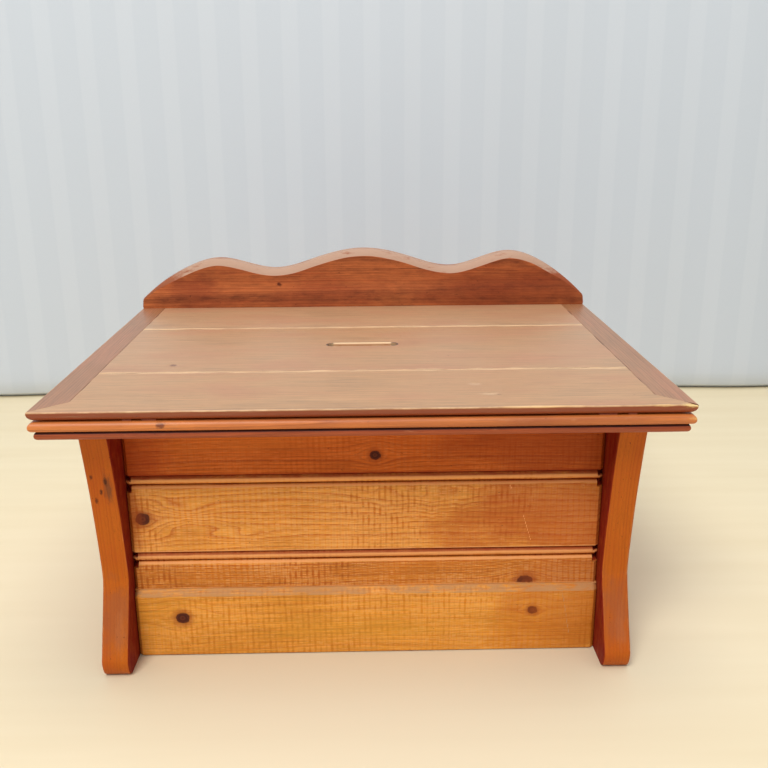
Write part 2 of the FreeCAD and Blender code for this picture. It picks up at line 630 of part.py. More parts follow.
# ---- assembly -----------------------------------------------------------------------
def build():
    wood = {"left_end_panel": end_panel(-1), "right_end_panel": end_panel(1)}
    wood.update(front_boards())
    wood.update(back_boards())
    wood.update(floor_boards())
    wood.update(cleats())
    wood.update(frame_members())
    wood.update(trim_strips())
    wood.update(lid_boards())
    wood["lid_batten_left"] = lid_batten(-1)
    wood["lid_batten_right"] = lid_batten(1)
    wood["back_rail"] = rail()
    groups = fastener_groups()
    fasteners = [item for group in groups.values() for item in group]
    leaves = {}
    for name, upward in [("hinge_frame_leaves", False), ("hinge_lid_leaves", True)]:
        pair = [bored_for(hinge_leaf(side * HINGE_X, upward), fasteners) for side in [-1, 1]]
        leaves[name] = Part.makeCompound(pair)
    nodes = {name: bored_for(shape, fasteners) for name, shape in wood.items()}
    nodes.update(leaves)
    nodes["hinge_pins"] = Part.makeCompound([hinge_pin(side * HINGE_X) for side in [-1, 1]])
    nodes["lid_rest_pads"] = rest_pads()
    for name, group in groups.items():
        nodes[name] = Part.makeCompound(group)
    return nodes


for node, shape in build().items():
    count = len(shape.Solids)
    state = "ok" if shape.isValid() and count > 0 else "INVALID"
    print("%-26s %2d solids %10.1f mm3 %s" % (node, count, shape.Volume, state))
    shape.exportStep("parts/" + node + ".step")
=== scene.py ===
import json
import math

import bmesh
import bpy
import numpy as np
from mathutils import Matrix, Vector


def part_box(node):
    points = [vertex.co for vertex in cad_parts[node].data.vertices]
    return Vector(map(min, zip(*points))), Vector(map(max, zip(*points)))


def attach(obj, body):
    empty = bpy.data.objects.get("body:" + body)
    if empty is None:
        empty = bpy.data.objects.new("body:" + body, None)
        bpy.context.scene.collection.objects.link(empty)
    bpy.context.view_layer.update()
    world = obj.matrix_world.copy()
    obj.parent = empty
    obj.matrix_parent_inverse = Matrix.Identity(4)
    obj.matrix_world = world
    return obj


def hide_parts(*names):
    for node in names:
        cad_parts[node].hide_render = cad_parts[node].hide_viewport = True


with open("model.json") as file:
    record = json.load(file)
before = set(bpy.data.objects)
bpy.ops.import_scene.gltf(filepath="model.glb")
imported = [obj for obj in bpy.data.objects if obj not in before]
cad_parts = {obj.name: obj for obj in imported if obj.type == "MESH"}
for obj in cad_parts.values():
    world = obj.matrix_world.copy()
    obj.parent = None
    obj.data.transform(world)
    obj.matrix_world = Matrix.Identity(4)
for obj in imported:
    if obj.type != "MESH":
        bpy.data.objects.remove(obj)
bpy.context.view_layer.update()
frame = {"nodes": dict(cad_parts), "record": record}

# Lengths below are in millimetres, in the CAD frame; MM turns them into Blender's metres.
MM = 0.001
RECORD = frame["record"]
BODY_OF = {node: body for body, nodes in RECORD["behaviour"]["bodies"].items() for node in nodes}
SLOT_OF = {part["node"]: part["material_slot"] for part in RECORD["subparts"]}


def span(node):
    """A CAD node's lowest and highest corners, in millimetres."""
    low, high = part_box(node)
    return np.array(low) / MM, np.array(high) / MM


# ---- sizes read from the frame ------------------------------------------------------
LID_LOW, LID_HIGH = span("lid_front_plank")
HALF = LID_HIGH[0]
Y_FRONT = LID_LOW[1]
SEAM_1 = LID_HIGH[1]
SEAM_2 = span("lid_middle_plank")[1][1]
Y_REAR = span("lid_rear_plank")[1][1]
LID_UNDER, LID_TOP = LID_LOW[2], LID_HIGH[2]
PLANK_X = span("lid_middle_plank")[1][0]
RAIL_LOW, RAIL_HIGH = span("back_rail")
FRAME_LOW, FRAME_HIGH = span("frame_front")
TRIM_LOW, TRIM_HIGH = span("trim_front")
PANEL_LOW, PANEL_HIGH = span("right_end_panel")
CREST_TOP = RAIL_HIGH[2] - LID_TOP


# ---- meshes -------------------------------------------------------------------------
def waves(points, size, seed, count=7):
    """Smooth, repeatable unevenness from -1 to 1 at each point, about `size` from bump to bump."""
    rng = np.random.default_rng(seed)
    total = np.zeros(points.shape[:-1])
    for _ in range(count):
        direction = rng.normal(size=3)
        direction *= rng.uniform(0.6, 1.5) * 2 * math.pi / size / np.linalg.norm(direction)
        total += np.sin(points @ direction + rng.uniform(0, 2 * math.pi))
    return total / count


def smooth_step(value, low, high):
    """0 at low, 1 at high and smooth between; low may be the larger."""
    t = np.clip((value - low) / (high - low), 0, 1)
    return t * t * (3 - 2 * t)


NEAR_CORNER = (0.5, 1.1, 1.9, 3.0, 4.4)     # extra points of an outline, from each corner


def gap_points(length, step):
    """Where a straight side gets its points: closer together near its two corners."""
    near = [d for d in NEAR_CORNER if d < length / 2 - 0.2]
    reach = near[-1] if near else 0.0
    count = max(1, int(round((length - 2 * reach) / step)))
    middle = list(np.linspace(reach, length - reach, count + 1))
    inner = middle if near else middle[1:-1]
    return near[:-1] + inner + [length - d for d in reversed(near[:-1])]


def rounded_loop(corners, step=2.5, arc_step=0.45):
    """A closed outline from (a, b, radius, paleness) corners: its points and how pale each point
    is, from rubbing and painted highlight.
    """
    places = [np.array(corner[:2], float) for corner in corners]
    arcs = []
    for index, (_, _, radius, wear) in enumerate(corners):
        here = places[index]
        back = places[index - 1] - here
        ahead = places[(index + 1) % len(corners)] - here
        back /= np.linalg.norm(back)
        ahead /= np.linalg.norm(ahead)
        half = math.acos(np.clip(back @ ahead, -1, 1)) / 2
        run = radius / math.tan(half)
        bisector = (back + ahead) / np.linalg.norm(back + ahead)
        centre = here + bisector * radius / math.sin(half)
        first = here + back * run - centre
        last = here + ahead * run - centre
        sweep = math.pi - 2 * half
        count = max(2, int(math.ceil(sweep * radius / arc_step)))
        turn = np.linspace(0, 1, count + 1)[:, None]
        arc = centre + (np.sin((1 - turn) * sweep) * first + np.sin(turn * sweep)
            * last) / math.sin(sweep)
        arcs.append((arc, wear))
    points, wear_and_highlights = [], []
    for index, (arc, wear) in enumerate(arcs):
        points += list(arc)
        wear_and_highlights += [wear] * len(arc)
        gap = arcs[(index + 1) % len(arcs)][0][0] - arc[-1]
        length = np.linalg.norm(gap)
        for distance in gap_points(length, step):
            points.append(arc[-1] + gap * distance / length)
            wear_and_highlights.append(0.0)
    return np.array(points), np.array(wear_and_highlights)


def outward(points):
    """Unit normals that point out of a closed outline."""
    tangent = np.roll(points, -1, 0) - np.roll(points, 1, 0)
    area = np.sum(points[:, 0] * np.roll(points[:, 1], -1) - np.roll(points[:, 0], -1)
        * points[:, 1])
    normal = np.stack([tangent[:, 1], -tangent[:, 0]], 1) * (1 if area > 0 else -1)
    return normal / np.maximum(np.linalg.norm(normal, axis=1), 1e-9)[:, None]


PAST_EASE = 0.5            # one more close station, just past the eased end


def station_list(length, step, ease):
    """Distances along a board: evenly spaced, with a few close ones where the ends are eased."""
    close = [ease * f for f in (0.0, 0.1, 0.3, 0.6, 1.0)] + [ease + PAST_EASE]
    count = max(1, int(round((length - 2 * ease) / step)))
    middle = np.linspace(ease, length - ease, count + 1)[1:-1]
    return np.array(close + list(middle) + [length - d for d in reversed(close)])


def skin(rows, count, around=True, capped=True):
    """The faces of a surface made of rows of points, and the table of its points' numbers.

    around joins each row's last point to its first; capped closes the first and last rows.
    """
    index = np.arange(rows * count).reshape(rows, count)
    ahead = np.roll(index, -1, 1)
    quads = np.stack([index[:-1], ahead[:-1], ahead[1:], index[1:]], -1)
    faces = (quads if around else quads[:, :-1]).reshape(-1, 4).tolist()
    if capped:
        faces += [index[0].tolist(), index[-1][::-1].tolist()]
    return faces, index


SHARP = 32                 # edges that turn more than this many degrees stay crisp


def new_object(name, points, faces, marks, sharp=SHARP, closed=True):
    """A mesh object from millimetre points; marks are named numbers, one per point."""
    mesh = bpy.data.meshes.new(name)
    mesh.from_pydata((np.asarray(points) * MM).tolist(), [], faces)
    if closed:
        tidy = bmesh.new()
        tidy.from_mesh(mesh)
        bmesh.ops.recalc_face_normals(tidy, faces=tidy.faces)
        tidy.to_mesh(mesh)
        tidy.free()
    for mark, values in marks.items():
        attribute = mesh.attributes.new(mark, "FLOAT", "POINT")
        attribute.data.foreach_set("value", np.asarray(values, np.float32))
    mesh.polygons.foreach_set("use_smooth", [True] * len(mesh.polygons))
    mesh.set_sharp_from_angle(angle=math.radians(sharp))
    piece = bpy.data.objects.new(name, mesh)
    bpy.context.scene.collection.objects.link(piece)
    return piece


# for each sweep direction: its own axis, then the axes of the outline's a and b
AXES = {"x": (0, 1, 2), "y": (1, 0, 2), "z": (2, 0, 1)}


def swept(name, loop, start, end, along="x", step=3.0, ease=0.5, end_wear=0.6, shape=None,
        dirt=None):
    """A board: an outline carried along an axis between two eased ends that may slope."""
    outline, wear = loop
    normal = outward(outline)
    a, b = outline[:, 0], outline[:, 1]
    first = start(a, b) if callable(start) else np.full(len(a), float(start))
    last = end(a, b) if callable(end) else np.full(len(a), float(end))
    length = float(np.max(last - first))
    places = station_list(length, step, ease)
    from_end = np.minimum(places, length - places)
    inside = np.clip(ease - from_end, 0, ease)
    shrink = ease - np.sqrt(np.maximum(ease * ease - inside * inside, 0))
    t = (places / length)[:, None]
    section = outline[None] - normal[None] * shrink[:, None, None]
    points = np.empty((len(places), len(a), 3))
    along_axis, a_axis, b_axis = AXES[along]
    points[..., along_axis] = first + t * (last - first)
    points[..., a_axis] = section[..., 0]
    points[..., b_axis] = section[..., 1]
    worn_and_lit = np.maximum(wear[None], (inside > 0)[:, None] * end_wear)
    grime_and_shade = np.zeros(points.shape[:2]) if dirt is None else np.broadcast_to(dirt,
        points.shape[:2]).copy()
    marks = {"wear": worn_and_lit, "dirt": grime_and_shade, "ripple": np.zeros(points.shape[:2]),
        "edge": np.zeros(points.shape[:2])}
    if shape:
        shape(points, marks, np.minimum(points[..., along_axis] - first,
            last - points[..., along_axis]))
    faces, _ = skin(*points.shape[:2])
    return new_object(name, points.reshape(-1, 3), faces, {k: v.ravel() for k, v in marks.items()})


def mark(marks, name, value):
    """Raises a mark to a value wherever it is lower."""
    marks[name] = np.maximum(marks[name], value)


def fit(piece, node, material):
    """The piece takes the CAD node's place and body and gets the material; the node is hidden."""
    piece.data.materials.append(material)
    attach(piece, BODY_OF[node])
    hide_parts(node)
    return piece


def uneven(amount, size, seed, axis=2):
    """A shape function: a slow unevenness of the surface, as hand-sanded wood has."""
    def shape(points, marks, from_end):
        points[..., axis] += amount * waves(points, size, seed)
    return shape


# ---- materials ----------------------------------------------------------------------
def srgb(red, green, blue):
    """A 0-255 screen colour as the linear colour that shaders take."""
    parts = [c / 255 for c in (red, green, blue)]
    return tuple(((c + 0.055) / 1.055) ** 2.4 if c > 0.04 else c / 12.92 for c in parts) + (1.0,)


class Graph:
    """Short names for the shader nodes that the wood and metal are made from."""

    def __init__(self, name):
        self.material = bpy.data.materials.new(name)
        self.material.use_nodes = True
        self.tree = self.material.node_tree
        self.shader = self.tree.nodes["Principled BSDF"]
        self.coords = None

    def put(self, socket, value):
        if isinstance(value, bpy.types.NodeSocket):
            self.tree.links.new(value, socket)
        else:
            socket.default_value = value

    def shade(self, name, value):
        """Sets or links one of the shader's own sockets."""
        self.put(self.shader.inputs[name], value)

    def bump(self, height, depth, strength=1.0):
        """Raises the surface's look by a height from 0 to 1; depth is in millimetres."""
        made = self.node("ShaderNodeBump")
        self.put(made.inputs["Strength"], strength)
        self.put(made.inputs["Distance"], depth * MM)
        self.put(made.inputs["Height"], height)
        self.shade("Normal", made.outputs[0])

    def node(self, kind, **settings):
        made = self.tree.nodes.new(kind)
        for key, value in settings.items():
            setattr(made, key, value)
        return made

    def math(self, operation, *values):
        made = self.node("ShaderNodeMath", operation=operation)
        for socket, value in zip(made.inputs, values):
            self.put(socket, value)
        return made.outputs[0]

    def add(self, *values):
        total = values[0]
        for value in values[1:]:
            total = self.math("ADD", total, value)
        return total

    def times(self, *values):
        total = values[0]
        for value in values[1:]:
            total = self.math("MULTIPLY", total, value)
        return total

    def minus(self, first, second):
        return self.math("SUBTRACT", first, second)

    def scaled(self, value, factor, offset):
        return self.math("MULTIPLY_ADD", value, factor, offset)

    def swing(self, noise, amount):
        """Noise about 0 instead of about a half, times an amount."""
        return self.times(self.minus(noise, 0.5), amount)

    def attribute(self, name):
        made = self.node("ShaderNodeAttribute", attribute_name=name)
        return made.outputs["Fac"]

    def place(self):
        """The three coordinates on the piece at rest, in millimetres."""
        if self.coords is None:
            object_place = self.node("ShaderNodeTexCoord").outputs["Object"]
            scaled = self.node("ShaderNodeVectorMath", operation="SCALE")
            self.put(scaled.inputs[0], object_place)
            scaled.inputs["Scale"].default_value = 1 / MM
            split = self.node("ShaderNodeSeparateXYZ")
            self.put(split.inputs[0], scaled.outputs[0])
            self.coords = dict(zip("xyz", split.outputs))
        return self.coords

    def vector(self, x, y, z):
        made = self.node("ShaderNodeCombineXYZ")
        for socket, value in zip(made.inputs, (x, y, z)):
            self.put(socket, value)
        return made.outputs[0]

    def noise(self, vector, detail=2.0, roughness=0.5):
        made = self.node("ShaderNodeTexNoise")
        self.put(made.inputs["Vector"], vector)
        settings = {"Scale": 1.0, "Detail": detail, "Roughness": roughness, "Distortion": 0.0}
        for name, value in settings.items():
            self.put(made.inputs[name], value)
        return made.outputs[0]

    def grain_noise(self, axes, sizes, seed, **settings):
        """Noise whose bumps measure `sizes` millimetres along the board, across and through it."""
        place = self.place()
        parts = [self.math("MULTIPLY_ADD", place[axis], 1 / size, seed * 7.3 + k * 3.1)
            for k, (axis, size) in enumerate(zip(axes, sizes))]
        return self.noise(self.vector(*parts), **settings)

    def ease(self, value, low, high):
        """0 below low, 1 above high, smooth between; low may be the larger."""
        made = self.node("ShaderNodeMapRange", interpolation_type="SMOOTHSTEP")
        for socket, number in zip(made.inputs, (value, low, high, 0.0, 1.0)):
            self.put(socket, number)
        return made.outputs[0]

    def bell(self, value, width):
        ratio = self.math("DIVIDE", value, width)
        return self.math("EXPONENT", self.times(ratio, ratio, -1.0))

    def ramp(self, factor, stops):
        made = self.node("ShaderNodeValToRGB")
        elements = made.color_ramp.elements
        while len(elements) < len(stops):
            elements.new(0.5)
        for element, (position, colour) in zip(elements, stops):
            element.position = position
            element.color = colour
        self.put(made.inputs[0], factor)
        return made.outputs[0]

    def mix(self, factor, first, second):
        made = self.node("ShaderNodeMix", data_type="RGBA")
        self.put(made.inputs[0], factor)
        self.put(made.inputs[6], first)
        self.put(made.inputs[7], second)
        return made.outputs[2]

    def brighten(self, colour, factor):
        made = self.node("ShaderNodeVectorMath", operation="SCALE")
        self.put(made.inputs[0], colour)
        self.put(made.inputs["Scale"], factor)
        return made.outputs[0]


def knot_parts(g, along, across, knots, seed):
    """How knots bend the grain round them, with masks for their hearts, rings and halos."""
    bent = across
    heart, halo, rings = 0.0, 0.0, 0.0
    for l0, a0, radius, *tail in knots:
        dl = g.minus(along, l0)
        da = g.minus(across, a0)
        if tail:
            lift, length = tail
            sway = g.noise(g.vector(g.times(dl, 0.06), seed * 1.9 + l0, 0.0), detail=1.0)
            swayed = g.add(da, g.swing(sway, 1.6 * radius))
            bent = g.add(bent, g.times(lift, g.bell(swayed, radius), g.bell(dl, length)))
            continue
        soft = g.math("SQRT", g.add(g.times(da, da), (0.7 * radius) ** 2))
        side = g.math("DIVIDE", da, soft)
        bent = g.minus(bent, g.times(side, 1.6 * radius, g.bell(dl, 3.4 * radius),
            g.bell(da, 4.0 * radius)))
        rim = g.noise(g.vector(g.times(dl, 0.35), g.times(da, 0.35), seed * 2.7), detail=2.0)
        distance = g.math("SQRT", g.add(g.times(dl, dl, 0.8), g.times(da, da)))
        distance = g.times(distance, g.scaled(rim, 0.5, 0.75))
        inside = g.ease(distance, radius * 1.1, radius * 0.85)
        heart = g.math("MAXIMUM", heart, inside)
        halo = g.math("MAXIMUM", halo, g.ease(distance, radius * 2.1, radius * 0.95))
        ring = g.math("PINGPONG", distance, radius * 0.28)
        edge = g.bell(g.minus(distance, radius * 0.95), radius * 0.14)
        rings = g.math("MAXIMUM", rings, g.times(ring, inside, g.minus(1.0, edge), 2.4 / radius))
    return bent, heart, halo, rings


def blot(g, centre, radii, seed):
    """A soft, ragged patch about a point, for stains, rubbed places and painted shade."""
    place = g.place()
    parts = [g.math("DIVIDE", g.minus(place[axis], centre[k]), radii[k])
        for k, axis in enumerate("xyz")]
    distance = g.math("SQRT", g.add(*[g.times(part, part) for part in parts]))
    ragged = g.grain_noise("xyz", [max(1.2, r * 0.5) for r in radii], seed, detail=3.0,
        roughness=0.65)
    return g.ease(g.add(distance, g.swing(ragged, 1.8)), 1.3, 0.3)


KNOT_HALO = (150, 62, 20)
KNOT_HEART = (64, 22, 12)
KNOT_RING = (116, 50, 26)
PIT_TONE = (70, 26, 12)
GLINT_TONE = (246, 196, 130)
COAT_ROUGH = 0.32


def grey(value):
    return (value, value, value, 1.0)


# how dark the wood is through one year's ring, from early wood to late
YEAR = [(place, grey(value)) for place, value in [(0.0, 0.0), (0.30, 0.06), (0.68, 0.50),
    (0.86, 1.0), (0.94, 0.7), (1.0, 0.0)]]


def pine(name, axes, seed, early, late, pith=(0.0, 45.0), ring=2.6, wander=6.0, contrast=1.0,
        knots=(), blots=(), worn_and_lit=(222, 176, 120), dirt=(60, 14, 8), stain=None, stain_amount=0.3,
        rough=0.42, wear_from=0.45, bare_and_lit_amount=0.85, edge_tone=None, fibre=0.30, relief=0.5,
        coat=0.0, sheen=0.25, speck=0.5, mottle=0.22, ripple=0.10, glint=0.0, light_paint=None):
    """Varnished pine. axes names the board's long, wide and thick directions, such as "xzy".

    Growth rings are cylinders about a pith that lies `pith` away across and through the board;
    slow noise makes them wander along it, as they do on a sawn face.
    """
    g = Graph(name)
    place = g.place()
    along, across, through = (place[axis] for axis in axes)
    bent, heart, halo, knot_rings = knot_parts(g, along, across, knots, seed)
    da = g.minus(bent, pith[0])
    dt = g.minus(through, pith[1])
    slow = g.grain_noise(axes, (260.0, 55.0, 55.0), seed, detail=1.0)
    quick = g.grain_noise(axes, (60.0, 14.0, 14.0), seed + 1, detail=2.0)
    distance = g.math("SQRT", g.add(g.times(da, da), g.times(dt, dt)))
    distance = g.add(distance, g.swing(slow, wander * 2), g.swing(quick, ring * 0.9))
    years = g.math("DIVIDE", distance, ring)
    uneven_years = g.noise(g.vector(g.times(years, 0.31), seed * 1.7, 0.0), detail=2.0,
        roughness=0.7)
    years = g.add(years, g.times(uneven_years, 2.4))
    phase = g.math("FRACT", years)
    year_strength = g.noise(g.vector(g.times(g.math("FLOOR", years), 0.73), seed * 2.9, 4.0),
        detail=0.0)
    patches = g.grain_noise(axes, (80.0, 30.0, 30.0), seed + 4, detail=2.0)
    band = g.ramp(phase, YEAR)
    strength = g.times(contrast, g.scaled(year_strength, 1.3, 0.05), g.scaled(patches, 0.8, 0.6))
    late_amount = g.math("MINIMUM", g.times(band, strength), 1.0)
    colour = g.mix(late_amount, srgb(*early), srgb(*late))
    streaks = g.grain_noise(axes, (34.0, 0.9, 0.9), seed + 2, detail=3.0, roughness=0.65)
    hairs = g.grain_noise(axes, (7.0, 0.30, 0.30), seed + 3, detail=1.0)
    if stain:
        soaked = g.ease(g.add(patches, g.swing(streaks, 0.6)), 0.42, 0.72)
        colour = g.mix(g.times(soaked, stain_amount), colour, srgb(*stain))
    # Painted light and shade of the planer chatter: its crests are painted lighter and its troughs
    # darker, nearer the late colour.
    chatter_light_and_shade = g.minus(g.attribute("ripple"), 0.25)
    light = g.add(1.0, g.swing(streaks, fibre * 2), g.swing(hairs, fibre * 0.8),
        g.swing(patches, mottle * 2), g.times(chatter_light_and_shade, g.minus(1.15, g.times(late_amount, 0.8)),
        -ripple))
    height = g.add(g.times(streaks, 0.5), g.times(hairs, 0.25), g.times(band, -0.35))
    chatter_trough_shade = g.ease(g.attribute("ripple"), 0.25, 0.9)
    colour = g.mix(g.math("MINIMUM", g.times(chatter_trough_shade, ripple * 3.2), 1.0), colour, srgb(*late))
    colour = g.brighten(colour, light)
    if edge_tone:
        colour = g.mix(g.times(g.attribute("edge"), g.ease(streaks, 0.0, 0.5)), colour,
            srgb(*edge_tone))
    if glint:
        crests = g.times(g.ease(g.attribute("ripple"), 0.75, 0.25),
            g.ease(g.attribute("ripple"), 0.0, 0.08))
        fine = g.ease(g.add(hairs, g.swing(patches, 0.5)), 0.44, 0.66)
        colour = g.mix(g.times(crests, fine, glint), colour, srgb(*GLINT_TONE))
    if knots:
        colour = g.mix(g.times(halo, 0.6), colour, srgb(*KNOT_HALO))
        colour = g.mix(heart, colour, g.mix(knot_rings, srgb(*KNOT_HEART), srgb(*KNOT_RING)))
    for index, (centre, radii, tone, amount) in enumerate(blots):
        mask = blot(g, centre, radii, seed + 20 + index)
        colour = g.mix(g.times(mask, amount), colour, srgb(*tone))
    if speck:
        pits = g.grain_noise(axes, (3.0, 1.5, 1.5), seed + 8, detail=2.0, roughness=0.6)
        colour = g.mix(g.times(g.ease(pits, 0.70, 0.76), speck), colour, srgb(*PIT_TONE))
    if light_paint:
        colour = light_paint(g, colour)
    # The pale tone below is real rubbed wear and also painted highlight, on rounded edges and faces
    # that turn up to the light.
    rub = g.grain_noise(axes, (13.0, 5.0, 5.0), seed + 7, detail=3.0, roughness=0.7)
    wear = g.attribute("wear")
    bare_and_lit = g.ease(g.times(wear, g.scaled(rub, 1.3, 0.2)), wear_from, wear_from + 0.22)
    colour = g.mix(g.times(bare_and_lit, bare_and_lit_amount), colour, srgb(*worn_and_lit))
    # The dark mark below is real dirt in the joints and also painted shade: in creases, holes,
    # under overhangs and on faces turned from the light.
    grime_and_shade = g.attribute("dirt")
    soot_and_shade = g.ease(g.times(grime_and_shade, g.scaled(rub, 0.8, 0.6)), 0.15, 0.85)
    colour = g.mix(soot_and_shade, colour, srgb(*dirt))
    g.shade("Base Color", colour)
    gloss = g.add(rough, g.swing(patches, 0.18), g.times(bare_and_lit, 0.2), g.times(soot_and_shade, 0.25))
    g.shade("Roughness", gloss)
    g.shade("Specular IOR Level", sheen)
    g.shade("Coat Weight", coat)
    g.shade("Coat Roughness", COAT_ROUGH)
    g.bump(height, 0.25, relief)
    return g.material


def aged_metal(name, bright, dull, seed, rough):
    """Brass or steel that has dulled in patches, with fine brushed lines."""
    g = Graph(name)
    patches = g.grain_noise("xyz", (2.2, 2.2, 2.2), seed, detail=3.0)
    lines = g.grain_noise("xyz", (6.0, 0.3, 0.3), seed + 1, detail=1.0)
    tarnish = g.times(g.ease(g.add(patches, g.times(lines, 0.3)), 0.35, 0.95), 0.8)
    g.shade("Base Color", g.mix(tarnish, srgb(*bright), srgb(*dull)))
    g.shade("Roughness", g.add(rough, g.times(tarnish, 0.25)))
    g.shade("Metallic", 1.0)
    g.bump(g.add(patches, lines), 0.05, 0.3)
    return g.material


def felt(name):
    g = Graph(name)
    fuzz = g.grain_noise("xyz", (0.5, 0.5, 0.5), 3, detail=3.0)
    g.shade("Base Color", g.mix(fuzz, srgb(150, 76, 58), srgb(196, 118, 92)))
    g.shade("Roughness", 0.9)
    g.bump(fuzz, 0.2)
    return g.material


# ---- camera, light, floor -----------------------------------------------------------
CAMERA_X = 2.0
CAMERA_BACK = 526.7          # in front of the lid's front edge
CAMERA_UP = 175.5            # above the lid
CAMERA_PITCH = math.radians(16.856)
CAMERA_YAW = math.radians(1.133)
CAMERA_ROLL = math.radians(-0.353)
CAMERA_LENS = 41.76


def make_camera():
    data = bpy.data.cameras.new("camera")
    data.lens = CAMERA_LENS
    data.sensor_width = 36.0
    data.clip_start = 0.01
    data.clip_end = 50
    camera = bpy.data.objects.new("camera", data)
    bpy.context.scene.collection.objects.link(camera)
    ahead = Vector((math.sin(CAMERA_YAW) * math.cos(CAMERA_PITCH),
        math.cos(CAMERA_YAW) * math.cos(CAMERA_PITCH), -math.sin(CAMERA_PITCH)))
    right = Vector((math.cos(CAMERA_YAW), -math.sin(CAMERA_YAW), 0))
    up = right.cross(ahead)
    tilt_right = right * math.cos(CAMERA_ROLL) + up * math.sin(CAMERA_ROLL)
    tilt_up = up * math.cos(CAMERA_ROLL) - right * math.sin(CAMERA_ROLL)
    turn = Matrix((tilt_right, tilt_up, -ahead)).transposed().to_4x4()
    place = Vector((CAMERA_X, Y_FRONT - CAMERA_BACK, LID_TOP + CAMERA_UP)) * MM
    camera.matrix_world = Matrix.Translation(place) @ turn
    bpy.context.scene.camera = camera


def area_light(name, place, aim, size, watts, colour=(1, 1, 1)):
    data = bpy.data.lights.new(name, "AREA")
    data.shape = "DISK"
    data.size = size
    data.energy = watts
    data.color = colour
    light = bpy.data.objects.new(name, data)
    light.location = place
    light.rotation_euler = (Vector(aim) - Vector(place)).to_track_quat("-Z", "Y").to_euler()
    bpy.context.scene.collection.objects.link(light)


BACKDROP_BEHIND = 520.0      # far enough back for the lid to open in front of it
BACKDROP_HALF_WIDTH = 2600.0
BACKDROP_TALL = 2200.0
FOOT_ROUND = 26.0            # the cloth curves forward over this height at its foot
FLOOR_SIZE = 9.0             # metres
SKY_TONE = (236, 238, 242)
SKY_STRENGTH = 0.52


def backdrop():
    """A plain pale cloth with soft vertical folds; it can be seen through from behind."""
    across = np.linspace(-BACKDROP_HALF_WIDTH, BACKDROP_HALF_WIDTH, 521)
    up = np.concatenate([[0.0, 6.0, 14.0, 26.0, 42.0], np.linspace(70, BACKDROP_TALL, 40)])
    x, z = np.meshgrid(across, up)
    place = np.stack([x, x * 0, z * 0.12], -1)
    fold = 9 * waves(place, 260, 3) + 3 * waves(place, 95, 4)
    above = 1 - np.clip(z, 0, FOOT_ROUND) / FOOT_ROUND
    foot = FOOT_ROUND * (1 - np.sqrt(np.clip(1 - above ** 2, 0, 1)))
    y = BACKDROP_BEHIND + fold + foot * 0.6
    points = np.stack([x, y, z], -1)
    faces, _ = skin(*x.shape, around=False, capped=False)
    cloth = new_object("backdrop", points.reshape(-1, 3), faces, {}, closed=False)
    g = Graph("backdrop_cloth")
    weave = g.grain_noise("xzy", (0.8, 0.8, 0.8), 5, detail=2.0)
    stripe = g.math("SINE", g.times(g.place()["x"], 2 * math.pi / 52))
    tone = g.add(0.5, g.swing(weave, 0.5), g.times(g.ease(stripe, 0.1, 0.5), 0.25))
    g.shade("Base Color", g.mix(tone, srgb(198, 209, 222), srgb(211, 220, 231)))
    g.shade("Roughness", 0.85)
    clear = g.node("ShaderNodeBsdfTransparent")
    sides = g.node("ShaderNodeMixShader")
    g.put(sides.inputs[0], g.node("ShaderNodeNewGeometry").outputs["Backfacing"])
    g.put(sides.inputs[1], g.shader.outputs[0])
    g.put(sides.inputs[2], clear.outputs[0])
    g.put(g.tree.nodes["Material Output"].inputs["Surface"], sides.outputs[0])
    cloth.data.materials.append(g.material)


def make_stage():
    mesh = bpy.data.meshes.new("floor")
    half = FLOOR_SIZE / 2
    corners = [(-half, -half, 0), (half, -half, 0), (half, half, 0), (-half, half, 0)]
    mesh.from_pydata(corners, [], [(0, 1, 2, 3)])
    floor = bpy.data.objects.new("floor", mesh)
    bpy.context.scene.collection.objects.link(floor)
    g = Graph("floor_paint")
    soft = g.grain_noise("xyz", (300.0, 26.0, 26.0), 9, detail=3.0)
    wood = g.mix(soft, srgb(224, 208, 172), srgb(236, 223, 192))
    place = g.place()
    away = g.math("SQRT", g.add(g.times(place["x"], place["x"]), g.times(place["y"], place["y"])))
    # Painted light: near the box the floor is tinted cooler, offsetting the orange light that the
    # box bounces onto it.
    g.shade("Base Color", g.mix(g.ease(away, 380.0, 120.0), wood, srgb(229, 220, 193)))
    g.shade("Roughness", 0.6)
    g.shade("Specular IOR Level", 0.3)
    mesh.materials.append(g.material)
    backdrop()
    world = bpy.data.worlds.new("studio")
    world.use_nodes = True
    world.node_tree.nodes["Background"].inputs["Color"].default_value = srgb(*SKY_TONE)
    world.node_tree.nodes["Background"].inputs["Strength"].default_value = SKY_STRENGTH
    bpy.context.scene.world = world
    area_light("key", (-0.7, -1.6, 2.3), (0, 0, 0.12), size=1.1, watts=43.0,
        colour=(1.0, 0.97, 0.92))
    area_light("top", (0.2, -0.1, 2.4), (0, 0.1, 0.1), size=1.6, watts=21.0)
    bpy.context.scene.view_settings.view_transform = "Standard"


# ---- lid ----------------------------------------------------------------------------
TOP_ARRIS = 0.7
LOWER_ROUND = 5.2
SEAM_ARRIS = 0.45
LID_STEP = 2.0             # between the rows of points along a lid board
LID_EASE = 0.3
UNDER_ARRIS = 0.3
SEAM_RUB = 3.4             # how far the rubbed line reaches from a seam
CRACK = 0.42               # half width of the dark line in a joint
SLOT_LENGTH = 55.3
SLOT_ROUND = 4.0
SLOT_MOUTH = 1.3
SLOT_SOUND = 2.0           # the rubbed mouth stops this far before the slot's round ends


def dent(points, centre, radius, push):
    """Pushes a small dent into a surface near a point."""
    away = np.linalg.norm(points - np.array(centre), axis=-1)
    points += np.exp(-(away / radius) ** 2)[..., None] * np.array(push)


